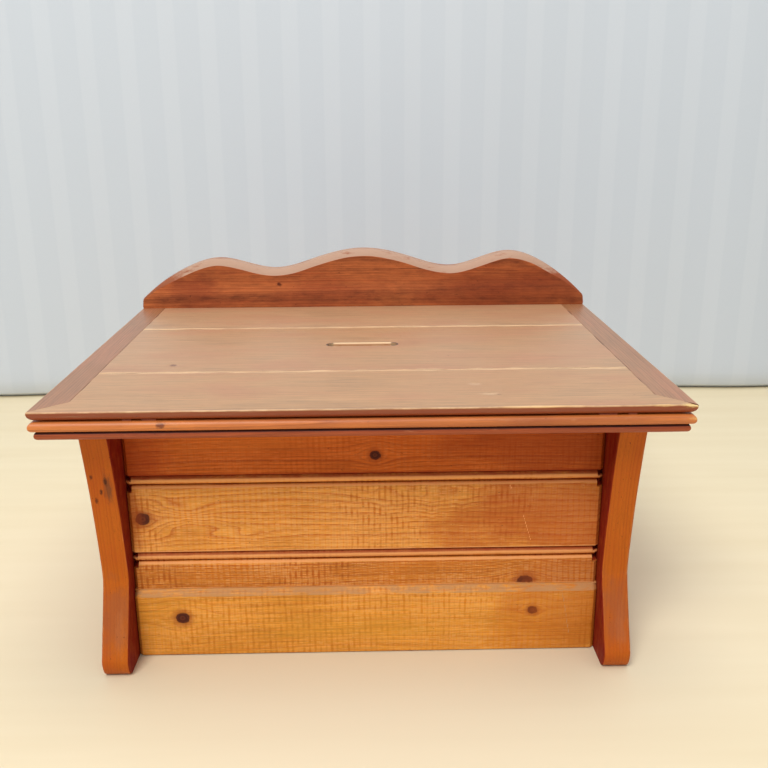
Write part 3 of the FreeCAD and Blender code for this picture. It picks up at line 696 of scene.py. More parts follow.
def lid_surface(seed, across_axis, seams, dents=()):
    """A shape function for the lid's boards: unevenness, rubbed seams, dark cracks and dents."""
    def shape(points, marks, from_end):
        rest = points.copy()
        on_top = rest[..., 2] > LID_TOP - 0.8
        points[..., 2] += 0.12 * waves(rest, 60, seed) * on_top
        for place, rubbed, crack in seams:
            away = np.abs(rest[..., across_axis] - place)
            patchy = 0.85 + 0.6 * waves(rest * (0.35, 0.35, 0), 10, seed + 5)
            line = np.exp(-(away / SEAM_RUB) ** 2) * on_top
            mark(marks, "wear", rubbed * line * patchy)
            dark = smooth_step(waves(rest * (1, 1, 0), 38, seed + 9), -0.1, 0.3)
            mark(marks, "dirt", crack * (away < CRACK) * (0.2 + dark))
        dark = smooth_step(waves(rest * (1, 1, 0), 45, seed + 13), 0.0, 0.4)
        mark(marks, "dirt", (from_end < CRACK) * on_top * dark)
        # Painted light: the side faces below the arris are marked for a darker, more saturated tone
        # than the top, standing in for the glare the top catches.
        from_outside = np.minimum(HALF - np.abs(rest[..., 0]), rest[..., 1] - Y_FRONT)
        side = smooth_step(from_outside, LOWER_ROUND + 1.0, LOWER_ROUND - 0.5)
        marks["edge"] = smooth_step(rest[..., 2], LID_TOP - 0.3, LID_TOP - 1.2) * side
        for centre, radius, depth in dents:
            dent(points, centre, radius, (0, 0, -depth))
    return shape


def slot_opening():
    """The slot's lowest and highest corners in the record, in millimetres."""
    opening = [part for part in RECORD["physics"]["openings"] if part["name"] == "lid_slot"][0]
    return tuple(np.array(corner) / MM for corner in opening["box_m"])


def slot_tones(g, colour):
    """Painted light in the slot: the lip is rubbed pale and painted lighter on the far side as
    highlight, the wall is painted warmer and darker as shade, and the two ends are painted dark as
    shade.
    """
    place = g.place()
    low, high = slot_opening()
    centre = (low + high) / 2
    half = SLOT_LENGTH / 2 - SLOT_ROUND
    along = g.math("ABSOLUTE", g.minus(place["x"], centre[0]))
    beyond = g.math("MAXIMUM", g.minus(along, half), 0.0)
    depth = g.minus(place["y"], centre[1])
    across = g.math("SQRT", g.add(g.times(beyond, beyond), g.times(depth, depth)))
    near_slot = g.ease(across, SLOT_ROUND + 2.8, SLOT_ROUND + 0.9)
    below = g.times(g.ease(place["z"], LID_TOP - 0.3, LID_TOP - 0.9), near_slot)
    at_end = g.ease(along, half - SLOT_SOUND * 0.6, half)
    far = g.ease(depth, -1.0, 1.0)
    # Painted highlight on the lip, strongest on the far side that faces the light, over its rubbed
    # wear.
    rubbed_and_lit_lip = g.times(near_slot, g.minus(1.0, at_end), g.scaled(far, 0.6, 0.3))
    colour = g.mix(rubbed_and_lit_lip, colour, srgb(240, 206, 158))
    # Painted shade: the wall below the top is painted warmer and darker.
    colour = g.mix(below, colour, srgb(196, 96, 40))
    # Painted shade: the slot's round ends are painted near black.
    ends = g.times(at_end, g.ease(across, SLOT_ROUND + 1.5, SLOT_ROUND + 0.7))
    return g.mix(ends, colour, srgb(54, 14, 8))


def lid_pieces():
    width = HALF - PLANK_X
    top = LID_TOP
    chips = [((HALF - 3, Y_FRONT + 1, top), (7, 2.4, 2.0), (240, 208, 130), 0.9),
        ((HALF - 22, Y_FRONT, top), (9, 1.5, 1.2), (236, 196, 130), 0.6),
        ((112, Y_FRONT + 0.5, top), (26, 1.6, 1.2), (228, 184, 120), 0.8),
        ((75, -116, top), (5, 3, 3), (226, 190, 150), 0.3),
        ((82, -138, top), (7, 2.4, 3), (232, 200, 160), 0.35),
        ((88, -140, top), (2.0, 1.4, 2), (120, 66, 36), 0.5)]
    # edge_tone is the painted tone of the lid's side faces, darker than the glare-lit top.
    common = dict(rough=0.46, coat=0.5, sheen=0.5, worn_and_lit=(226, 188, 142), fibre=0.56, relief=0.4,
        speck=0.6, wear_from=0.26, bare_and_lit_amount=0.7, edge_tone=(140, 54, 6), stain=(152, 98, 72),
        mottle=0.34, stain_amount=0.5, dirt=(84, 34, 18))
    wood = {"lid_front_plank": pine("lid_front_wood", "xyz", 11, (186, 140, 94), (148, 98, 60),
        ring=2.6, wander=6, pith=(Y_FRONT - 60, LID_TOP - 60), contrast=0.6, blots=chips, **common),
        "lid_middle_plank": pine("lid_middle_wood", "xyz", 23, (186, 141, 98), (148, 100, 64),
        ring=3.0, wander=6, pith=(90, LID_TOP - 60), contrast=0.6, **common, light_paint=slot_tones,
        blots=[((-140, -60, top), (3, 3, 3), (96, 46, 26), 0.8)]),
        "lid_rear_plank": pine("lid_rear_wood", "xyz", 37, (188, 148, 110), (156, 108, 74),
        ring=2.6, wander=6, pith=(10, LID_TOP - 55), contrast=0.5, **common),
        "lid_left_end_board": pine("lid_left_wood", "yxz", 41, (158, 106, 66), (108, 62, 36),
        ring=1.8, wander=3, pith=(-HALF - 40, LID_TOP - 30), contrast=0.9, **common),
        "lid_right_end_board": pine("lid_right_wood", "yxz", 43, (162, 112, 72), (112, 66, 38),
        ring=1.8, wander=3, pith=(HALF + 40, LID_TOP - 30), contrast=0.9, **common),}
    front_loop = rounded_loop([(Y_FRONT, LID_TOP, TOP_ARRIS, 0.42),
        (SEAM_1, LID_TOP, SEAM_ARRIS, 0.3), (SEAM_1, LID_UNDER, UNDER_ARRIS, 0),
        (Y_FRONT, LID_UNDER, LOWER_ROUND, 0.15)])
    reach = lambda a, b: HALF - np.clip(a - Y_FRONT, 0, width)
    front = swept("lid_front_board", front_loop, lambda a, b: -reach(a, b), reach, "x", LID_STEP,
        LID_EASE, shape=lid_surface(1, 1, [(SEAM_1, 0.85, 0.9)],
        [((HALF - 3, Y_FRONT + 1, LID_TOP), 3.0, 0.8), ((82, -138, LID_TOP), 3, 0.35),
        ((75, -116, LID_TOP), 3, 0.3)]))
    fit(front, "lid_front_plank", wood["lid_front_plank"])
    for node, y0, y1, seed in [("lid_middle_plank", SEAM_1, SEAM_2, 2),
            ("lid_rear_plank", SEAM_2, Y_REAR, 3)]:
        loop = rounded_loop([(y0, LID_TOP, SEAM_ARRIS, 0.3), (y1, LID_TOP, SEAM_ARRIS, 0.3),
            (y1, LID_UNDER, UNDER_ARRIS, 0), (y0, LID_UNDER, UNDER_ARRIS, 0)])
        seams = [(SEAM_1, 0.65, 0.9), (SEAM_2, 0.75, 0.9)]
        board = swept(node.replace("plank", "board"), loop, -PLANK_X, PLANK_X, "x", LID_STEP,
            LID_EASE, shape=lid_surface(seed, 1, seams, [((-140, -60, LID_TOP), 3, 0.4)]))
        if node == "lid_middle_plank":
            cut_slot(board)
        fit(board, node, wood[node])
    for node, side in [("lid_left_end_board", -1), ("lid_right_end_board", 1)]:
        corners = [(side * PLANK_X, LID_TOP, SEAM_ARRIS, 0.2),
            (side * HALF, LID_TOP, TOP_ARRIS, 0.42), (side * HALF, LID_UNDER, LOWER_ROUND, 0.15),
            (side * PLANK_X, LID_UNDER, UNDER_ARRIS, 0)]
        start = lambda a, b: Y_FRONT + np.clip(HALF - np.abs(a), 0, width)
        board = swept(node + "_strip", rounded_loop(corners), start, Y_REAR, "y", LID_STEP,
            LID_EASE, shape=lid_surface(4 + side, 0, [(side * PLANK_X, 0.25, 0.9)]))
        fit(board, node, wood[node])
    for node in ["lid_batten_left", "lid_batten_right"]:
        plain_board(node, "y", "yxz", 0.9)


def slot_outline(radius, half, count=18):
    """A slot with round ends, with a point just inside each end where the flare may stop."""
    turn = np.linspace(-math.pi / 2, math.pi / 2, count)
    arc = np.stack([half + radius * np.cos(turn), radius * np.sin(turn)], 1)
    inset = half - SLOT_SOUND
    right = np.concatenate([[[inset, -radius]], arc, [[inset, radius]]])
    return np.concatenate([right, -right])


def cut_slot(board):
    """Cuts the worn, round-ended slot through the middle plank."""
    low, high = slot_opening()
    centre = (low + high) / 2
    half = SLOT_LENGTH / 2 - SLOT_ROUND
    levels = [(LID_UNDER - 2, 0.0), (LID_TOP - SLOT_MOUTH, 0.0)]
    for turn in np.linspace(0.15, 1, 7) * math.pi / 2:
        levels.append((LID_TOP - SLOT_MOUTH * (1 - math.sin(turn)),
            SLOT_MOUTH * (1 - math.cos(turn))))
    levels.append((LID_TOP + 2, SLOT_MOUTH))
    rings = []
    for z, flare in levels:
        ring = slot_outline(SLOT_ROUND, half)
        ring[:, 1] += flare * np.sign(ring[:, 1]) * (np.abs(ring[:, 0]) < half - 0.5 * SLOT_SOUND)
        rings.append(np.column_stack([ring[:, 0] + centre[0], ring[:, 1] + centre[1],
            np.full(len(ring), z)]))
    points = np.array(rings)
    faces, _ = skin(*points.shape[:2])
    cutter = new_object("slot_cutter", points.reshape(-1, 3), faces, {})
    cut = board.modifiers.new("slot", "BOOLEAN")
    cut.operation = "DIFFERENCE"
    cut.solver = "EXACT"
    cut.object = cutter
    graph = bpy.context.evaluated_depsgraph_get()
    mesh = bpy.data.meshes.new_from_object(board.evaluated_get(graph))
    board.modifiers.clear()
    board.data = mesh
    bpy.data.objects.remove(cutter)
    mesh.set_sharp_from_angle(angle=math.radians(SHARP))


# ---- rail ---------------------------------------------------------------------------
RAIL_BEVEL = 5.5
CROWN = 0.5                # how far the crest's bevel swells
RAIL_END = 9.0


def natural_spline(points, count):
    """A smooth curve through the points, evenly stepped along its chords."""
    points = np.array(points, float)
    t = np.concatenate([[0], np.cumsum(np.linalg.norm(np.diff(points, axis=0), axis=1))])
    h = np.diff(t)
    n = len(points)
    matrix = np.eye(n)
    right = np.zeros((n, 2))
    for i in range(1, n - 1):
        matrix[i, i - 1:i + 2] = [h[i - 1], 2 * (h[i - 1] + h[i]), h[i]]
        right[i] = 6 * ((points[i + 1] - points[i]) / h[i] - (points[i] - points[i - 1]) / h[i - 1])
    bend = np.linalg.solve(matrix, right)
    where = np.linspace(0, t[-1], count)
    k = np.clip(np.searchsorted(t, where) - 1, 0, n - 2)
    a = ((t[k + 1] - where) / h[k])[:, None]
    b = 1 - a
    hk = h[k][:, None]
    return a * points[k] + b * points[k + 1] + ((a ** 3 - a) * bend[k] + (b ** 3 - b)
        * bend[k + 1]) * hk ** 2 / 6


def rail_piece():
    """The scalloped rail, with a routed round and a small step along its crest's front edge."""
    end = RAIL_HIGH[0]
    crest = natural_spline([(-end, RAIL_END), (-196, 20.5), (-170, 36), (-138, 45.5), (-85, 35.5),
        (-46, 44.5), (0, CREST_TOP), (46, 44.5), (84, 36.5), (139, 50), (172, 39), (197, 21),
        (end, RAIL_END)], 520)
    rise = np.linspace(0, 1, 12)[:-1, None]
    left = np.array([[-end, 0.0]]) * (1 - rise) + crest[:1] * rise
    right = crest[-1:] * rise[::-1] + np.array([[end, 0.0]]) * (1 - rise[::-1])
    line = np.concatenate([left, crest, right])
    for _ in range(6):
        line[1:-1] = (line[:-2] + 2 * line[1:-1] + line[2:]) / 4
    step = np.gradient(line, axis=0)
    normal = np.stack([-step[:, 1], step[:, 0]], 1)
    normal /= np.linalg.norm(normal, axis=1)[:, None]
    travel = np.concatenate([[0], np.cumsum(np.linalg.norm(np.diff(line, axis=0), axis=1))])
    from_base = np.minimum(travel, travel[-1] - travel)
    width = RAIL_BEVEL * smooth_step(from_base, 0.5,
        9) * (0.25 + 0.75 * smooth_step(from_base, 6, 60))
    width = width * (1 + 0.06 * waves(np.column_stack([line, line[:, :1] * 0]), 30, 5))
    front, back = RAIL_LOW[1], RAIL_HIGH[1]
    rows = [(line - normal * width[:, None], np.full(len(line), front), 0.15)]
    # The bevel's rows are paler: rubbed wear and painted highlight, the glare of the top light.
    for part in np.linspace(0.04, 1, 9):
        crown = CROWN * math.sin(math.pi * part)
        flat = line - normal * (width * (1 - part) - crown * 0.7)[:, None] * (width > 0.01)[:, None]
        depth = front + width * part - crown * 0.7 * (width > 1)
        rows.append((flat, depth, 0.6))
    for depth, wear in [(front + RAIL_BEVEL + 3, 0.62), (back - 6, 0.45), (back - 0.8, 0.5)]:
        rows.append((line, np.full(len(line), depth), wear))
    rows.append((line - normal * 0.3, np.full(len(line), back - 0.3), 0.5))
    rows.append((line - normal * 0.8, np.full(len(line), back), 0.2))
    points = np.array([np.column_stack([flat[:, 0], depth, flat[:, 1] + LID_TOP])
        for flat, depth, _ in rows])
    points[..., 2] = np.maximum(points[..., 2], LID_TOP)
    wear = np.array([np.full(len(line), w) for _, _, w in rows])
    wear *= (0.35 + 0.65 * smooth_step(from_base, 20, 75)) * (1 + 0.3 * waves(points, 40, 19))
    on_crest = np.ones_like(wear)
    on_crest[[0, -1]] = 0.0
    grime_and_shade = np.zeros_like(wear)
    # Darkened along the crease under the bevel, as painted shade; the flat front face, whose
    # outline this row is, darkens with it.
    grime_and_shade[0] = 0.42 + 0.25 * waves(points[0], 9, 15)
    faces, index = skin(len(rows), len(line), around=False)
    faces.append(index[:, 0].tolist() + index[::-1, -1].tolist())
    rail = new_object("back_rail_board", points.reshape(-1, 3), faces,
        {"wear": wear.ravel(), "dirt": grime_and_shade.ravel(), "edge": on_crest.ravel()}, sharp=24)
    # The pale tone on the crest is rubbed wear and painted highlight, the glare of the top light.
    wood = pine("rail_wood", "xzy", 53, (210, 118, 64), (164, 74, 36), ring=2.4, wander=5,
        mottle=0.14, pith=(LID_TOP - 70, 120), contrast=0.7, worn_and_lit=(188, 156, 134),
        stain=(146, 58, 30), stain_amount=0.5, rough=0.42, wear_from=0.24, fibre=0.55, speck=0.8,
        bare_and_lit_amount=0.8, edge_tone=(150, 88, 58), blots=[((-80, RAIL_LOW[1], LID_TOP + 22),
        (3, 4, 2), (80, 26, 14), 0.9), ((150, RAIL_LOW[1], LID_TOP + 16), (100, 8, 30),
        (150, 62, 26), 0.6), ((-165, RAIL_LOW[1], LID_TOP + 14), (30, 8, 20), (150, 66, 36), 0.5)])
    fit(rail, "back_rail", wood)


# ---- top frame and moulding ---------------------------------------------------------
def nosed_loop(outer, inner, low, high, step=3.0):
    """A bar's outline whose outer edge is a half round."""
    radius = (high - low) / 2 - 0.05
    return rounded_loop([(outer, high, radius, 0.5), (inner, high, 0.2, 0), (inner, low, 0.2, 0),
        (outer, low, radius, 0.3)], step)


EDGE_STEP = 3.0
EDGE_EASE = 0.15
EDGE_UNEVEN = (0.08, 40)     # height and size of the bars' unevenness


def edge_layer(nodes, outer, front, inner, heights, seeds, woods, mitre=math.inf, frame_shadowed=False):
    """Three round-edged bars: one along the front and one down each side, mitred at the corners.

    inner is the front bar's inner y and the side bars' inner x; the last flag paints shadow on the
    tops, where the bars above overhang them.
    """
    def bar(node, loop, start, end, along, seed, wood):
        # Painted shadow on the bar's top, under the overhang of the bar above.
        frame_shadow = smooth_step(loop[0][:, 1], heights[1] - 2.2,
            heights[1] - 1.0) * 1.2 if frame_shadowed else None
        piece = swept(node + "_bar", loop, start, end, along, EDGE_STEP, EDGE_EASE,
            shape=uneven(*EDGE_UNEVEN, seed), dirt=frame_shadow)
        fit(piece, node, wood)

    reach = lambda a, b: outer - (a - front)
    side_start = lambda a, b: front + np.clip(outer - np.abs(a), 0, mitre)
    bar(nodes[0], nosed_loop(front, inner[0], *heights), lambda a, b: -reach(a, b), reach, "x",
        seeds[0], woods[0])
    for node, side in zip(nodes[1:], (-1, 1)):
        bar(node, nosed_loop(side * outer, side * inner[1], *heights), side_start, Y_REAR, "y",
            seeds[1] + side, woods[1])


def edge_layers():
    look = dict(ring=2.2, contrast=0.6, wear_from=0.48, worn_and_lit=(206, 146, 102), sheen=0.5, fibre=0.5,
        speck=0.8, stain=(132, 58, 34), stain_amount=0.5)
    edge = (FRAME_LOW[2] + FRAME_HIGH[2]) / 2
    chips = [((HALF - 2, Y_FRONT + 2, edge + 1), (4, 3, 1.3), (232, 190, 116), 0.7),
        ((-127, Y_FRONT, edge + 1), (3.2, 4, 2.2), (110, 46, 24), 0.85),
        ((120, Y_FRONT, edge), (100, 6, 3), (150, 76, 42), 0.5)]
    below = FRAME_LOW[2] - 40
    wood = pine("frame_wood", "xyz", 61, (222, 132, 66), (150, 68, 28), blots=chips,
        pith=(Y_FRONT + 90, below), **look)
    side_wood = pine("frame_side_wood", "yxz", 67, (196, 106, 48), (138, 58, 24), pith=(90, below),
        **look)
    trim_tones = (168, 76, 30), (118, 44, 16)
    trim_wood = pine("trim_wood", "xyz", 163, *trim_tones, pith=(Y_FRONT + 90, 120), **look)
    trim_side_wood = pine("trim_side_wood", "yxz", 167, *trim_tones, pith=(90, 120), **look)
    edge_layer(("frame_front", "frame_left", "frame_right"), HALF, Y_FRONT,
        (FRAME_HIGH[1], span("frame_rear")[1][0]), (FRAME_LOW[2], FRAME_HIGH[2]), (21, 22),
        (wood, side_wood))
    plain_board("frame_rear", "x", "xyz", 0.3, wood)
    edge_layer(("trim_front", "trim_left", "trim_right"), TRIM_HIGH[0], TRIM_LOW[1],
        (TRIM_HIGH[1], span("trim_right")[0][0]), (TRIM_LOW[2], TRIM_HIGH[2]), (31, 33),
        (trim_wood, trim_side_wood), mitre=TRIM_HIGH[1] - TRIM_LOW[1], frame_shadowed=True)


# ---- front boards -------------------------------------------------------------------
BEAD_TALL = 6.0
QUIRK = 1.2
SHOULDER = 4.6
RECESS = 2.0
END_CHAMFER = 2.4
CHATTER_PITCH = 4.1
CHATTER_DEPTH = 0.07
TONGUE = 4.0                 # the board above hides this much of a board's top
SKIRT_BEVEL = 4.2
FRONT_STEP = 0.8             # fine enough for the planer marks
FRONT_EASE = 0.2


def straight(p, q, step):
    count = max(1, int(round(math.hypot(q[0] - p[0], q[1] - p[1]) / step)))
    return [(p[0] + (q[0] - p[0]) * k / count, p[1] + (q[1] - p[1]) * k / count)
        for k in range(count)]


def shade_on_bead(height, depth):
    """Painted shade on the bead's upper half, where the board above overhangs it."""
    return 0.6 * float(smooth_step(np.array(height), BEAD_TALL * 0.5,
        BEAD_TALL * 0.72)) * (depth < RECESS + 0.1)


def beaded_loop(face, back, low, top):
    """A front board's outline with bead, quirk and shoulder; also how pale each point is, from
    rubbing and painted highlight, and its painted shade.
    """
    quirk_top = top - BEAD_TALL
    quirk_low = quirk_top - QUIRK
    shoulder_low = quirk_low - SHOULDER
    rows = []
    rows += [(p, 0.0, 0.0) for p in straight((back, low), (face + 0.5, low), 3.0)]
    # The lower front arris: paler, with painted shade in the joint below it.
    rows += [((face + 0.5, low), 0.3, 0.8), ((face + 0.15, low + 0.15), 0.7, 0.5),
        ((face, low + 0.5), 0.6, 0.1)]
    rows += [(p, 0.0, 0.0) for p in straight((face, low + 0.5), (face, shoulder_low), 1.8)[1:]]
    # The shoulder: paler where it turns up to the light, as rubbed wear and painted highlight.
    for u in np.linspace(0, 1, 9):
        place = (face + RECESS * (1 - math.cos(u * math.pi / 2)),
            shoulder_low + SHOULDER * math.sin(u * math.pi / 2))
        rows.append((place, 0.9 * float(smooth_step(np.array(u), 0.25, 0.6)) * (u < 1), 0.0))
    # Painted shade in the quirk.
    rows.append(((face + RECESS + 1.2, (quirk_low + quirk_top) / 2), 0.0, 1.0))
    # The bead: paler on its round, as rubbed wear and painted highlight, with painted shade in the
    # creases at its two ends.
    for u in np.linspace(0, 1, 13):
        place = (face + RECESS - (RECESS - 0.35) * math.sin(u * math.pi), quirk_top + BEAD_TALL * u)
        rows.append((place, 0.8 * math.sin(u * math.pi), 0.7 if u in (0.0, 1.0) else 0.0))
    # Painted shade on the board's top, under the board above.
    rows += [(p, 0.0, 1.0) for p in straight((face + RECESS + 0.6, top), (back, top), 3.0)]
    # Painted shade on the bead's upper half.
    rows = [(p, w, max(d, shade_on_bead(p[1] - quirk_top, p[0] - face))) for p, w, d in rows]
    points = np.array([row[0] for row in rows])
    return (points, np.array([row[1] for row in rows])), np.array([row[2] for row in rows])


def board_surface(face, top, beaded, seed, scratches=()):
    """A shape function: planer chatter, eased ends with painted shade near them, holes at the
    bead's ends painted dark as shade, scratches.
    """
    def shape(points, marks, from_end):
        front = points[..., 1] < face + RECESS + 1.6
        flat = points[..., 1] < face + 0.25
        x, z = points[..., 0].copy(), points[..., 2].copy()
        beat = waves(points * (1, 1, 0.35), 55, seed)
        strong = smooth_step(waves(points * (1, 1, 0.7), 120, seed + 1), -0.35, 0.25) * 0.8 + 0.2
        drift = 0.6 * waves(points * (0.6, 0, 1.0), 16,
            seed + 3) + 0.6 * waves(points * (0.12, 0, 1.0), 7, seed + 4)
        strong *= 0.65 + 0.6 * waves(points * (0.5, 0, 1.0), 6, seed + 6)
        ripple = 0.5 - 0.5 * np.cos(2 * math.pi * x / CHATTER_PITCH + 3.4 * beat + drift)
        marks["ripple"] = ripple * strong * front
        points[..., 1] += (flat * ripple * strong + (front & ~flat) * ripple * strong
            * 0.5) * CHATTER_DEPTH
        points[..., 1] += flat * 0.10 * (1 + waves(points, 70, seed + 2))
        chamfer = np.clip(END_CHAMFER - from_end, 0, END_CHAMFER)
        points[..., 1] += front * chamfer
        # Painted shade near the board's ends, beside the end panels.
        shade = smooth_step(from_end, END_CHAMFER + 2.2, 0.4)
        mark(marks, "dirt", front * shade * 0.32)
        if beaded:
            upper_bead = smooth_step(z, top - BEAD_TALL * 0.62, top - BEAD_TALL * 0.45)
            quirk = top - BEAD_TALL - QUIRK
            shoulder = smooth_step(z, quirk - SHOULDER, quirk - SHOULDER * 0.7) * (z < quirk + 0.1)
            # Holes at the bead's ends: pushed in, and painted dark as shade.
            hole = np.maximum(upper_bead, shoulder) * smooth_step(from_end, 4.2, 3.2) * front
            points[..., 1] += hole * 5.0
            mark(marks, "dirt", hole * 1.6)
        for x0, z0, x1, z1, width, depth in scratches:
            ax, az = x1 - x0, z1 - z0
            t = np.clip(((x - x0) * ax + (z - z0) * az) / (ax * ax + az * az), 0, 1)
            away = np.hypot(x - x0 - t * ax, z - z0 - t * az)
            cut = np.exp(-(away / width) ** 2) * flat
            points[..., 1] += cut * depth
            mark(marks, "wear", cut * 0.8)
    return shape


def front_boards():
    half = span("front_middle_board")[1][0]
    skirt_face = span("front_skirt_board")[0][1]
    board_face = span("front_middle_board")[0][1]
    # The darker, redder patches at the right of each board are painted shade, the light coming from
    # the left.
    specs = [("front_top_board", 71, (206, 102, 32), (150, 58, 14),
        dict(ring=2.3, pith=(100, Y_FRONT + 90), wander=7, contrast=0.65, sheen=0.12, ripple=0.04,
        glint=0.1, knots=[(6.9, 154.5, 3.4)], blots=[((-80, board_face, 172), (80, 20, 14),
        (222, 124, 46), 0.4), ((-160, board_face, 150), (26, 20, 30), (164, 48, 14), 0.45),
        ((130, board_face, 160), (80, 20, 26), (152, 56, 16), 0.55)])),
        ("front_middle_board", 79, (226, 150, 62), (186, 82, 14),
        dict(ring=3.5, pith=(40, Y_FRONT + 82), wander=14, contrast=1.0, ripple=0.13, glint=0.4,
        knots=[(-157.8, 108.2, 4.6), (-130, 117, 5.0, 8.0, 20.0), (-122, 102, 5.5, -9.0, 26.0),
        (-84, 95, 4.5, 5.0, 26.0), (40, 122, 9.0, 7.0, 60.0)],
        blots=[((130, board_face, 105), (80, 20, 42), (176, 66, 10), 0.6),
        ((-165, board_face, 110), (8, 20, 30), (178, 76, 22), 0.5)])),
        ("front_lower_board", 83, (208, 126, 42), (168, 68, 12),
        dict(ring=2.0, pith=(-10, Y_FRONT + 90), wander=5, contrast=0.9, knots=[(115.3, 53.8, 5.4)],
        ripple=0.15, glint=0.4, blots=[((150, board_face, 60), (50, 20, 30), (168, 76, 24), 0.4)])),
        ("front_skirt_board", 89, (226, 150, 50), (194, 98, 20),
        dict(ring=3.4, pith=(110, Y_FRONT + 120), wander=9, contrast=0.6, glint=0.3,
        worn_and_lit=(190, 144, 100), knots=[(-134.2, 31.2, 4.6), (120.8, 33.2, 3.3)], ripple=0.10,
        wear_from=0.36, blots=[((-10, skirt_face, 20), (75, 20, 12), (236, 176, 60), 0.18),
        ((150, skirt_face, 25), (60, 20, 40), (188, 92, 22), 0.5)])),]
    # The dark colour here is that of the boards' painted shade: in quirks, holes and joints and
    # near the board ends.
    board_look = dict(rough=0.46, sheen=0.22, wear_from=0.30, bare_and_lit_amount=0.72, fibre=0.45,
        mottle=0.26, dirt=(146, 42, 14), worn_and_lit=(247, 174, 110))
    for node, seed, early, late, more in specs:
        low, high = span(node)
        wood = pine(node + "_wood", "xzy", seed, early, late, **{**board_look, **more})
        face, back = low[1], high[1]
        top = high[2]
        beaded = node in ("front_middle_board", "front_lower_board")
        scratches = []
        dirt = None
        if beaded:
            top = high[2] - TONGUE
            loop, dirt = beaded_loop(face, back, low[2], top)
            if node == "front_middle_board":
                scratches = [(100, 134, 103, 128, 0.7, 0.12), (112, 108, 118, 88, 0.5, 0.08)]
        elif node == "front_skirt_board":
            loop = rounded_loop([(face, low[2], 0.8, 0.4), (face, top - SKIRT_BEVEL, 1.2, 0.30),
                (face + SKIRT_BEVEL, top, 1.2, 0.62), (back, top, 0.3, 0), (back, low[2], 0.3, 0)],
                1.8)
            outline, worn_and_lit = loop
            # The rounded top is paler: rubbed wear and painted highlight where it turns up to the
            # light.
            rounded = (outline[:, 1] > top - SKIRT_BEVEL - 0.4) & (outline[:, 0] < face
                + SKIRT_BEVEL + 2)
            loop = (outline, np.maximum(worn_and_lit, 0.6 * rounded))
            scratches = [(142.0, 50.0, 149.0, 12.0, 0.6, 0.12), (58.0, 34.0, 62.0, 28.0, 0.6, 0.1)]
        else:
            loop = rounded_loop([(face, low[2], 0.5, 0.0), (face, top, 0.3, 0), (back, top, 0.3, 0),
                (back, low[2], 0.3, 0)], 1.8)
            # Painted shade along the top board's lower edge, above the bead of the board below.
            dirt = smooth_step(loop[0][:, 1], low[2] + 3.5, low[2]) * 0.55
        board = swept(node + "_plank", loop, -half, half, "x", FRONT_STEP, FRONT_EASE, 0.0,
            dirt=dirt, shape=board_surface(face, top, beaded, seed, scratches))
        fit(board, node, wood)



# ---- end panels ---------------------------------------------------------------------
WAIST = (41.8, 66.0)       # behind the lid's front edge, above the ground
TOE = (19.6, 13.0)
SWEEP_AT = (34.8, 122.0)
SWELL_AT = (29.3, 36.0)
SOLE_AT = 27.6
PANEL_STEP = 1.6
PANEL_EASE = 0.5
# bruises on the left panel's edge: across it, height, width, length, colour and strength
LEFT_BRUISES = [(4, 141, 3.2, 12, (116, 66, 38), 0.8), (3, 146, 1.3, 3.5, (74, 34, 16), 0.9),
    (-1, 138, 1.3, 2.2, (74, 34, 16), 0.9), (-5, 131, 1.2, 2.6, (80, 34, 14), 0.8),
    (-6, 150, 1.2, 2.0, (80, 34, 14), 0.8)]


def circle_side(p, q, r):
    """The (y, z) circle through three points, as a function that gives y at a height z."""
    (ay, az), (by, bz), (cy, cz) = p, q, r
    d = 2 * (ay * (bz - cz) + by * (cz - az) + cy * (az - bz))
    a2, b2, c2 = (y ** 2 + z ** 2 for y, z in (p, q, r))
    uy = (a2 * (bz - cz) + b2 * (cz - az) + c2 * (az - bz)) / d
    uz = (a2 * (cy - by) + b2 * (ay - cy) + c2 * (by - ay)) / d
    radius = math.hypot(ay - uy, az - uz)
    way = 1 if by > uy else -1
    return lambda z: uy + way * np.sqrt(np.maximum(radius ** 2 - (z - uz) ** 2, 0))


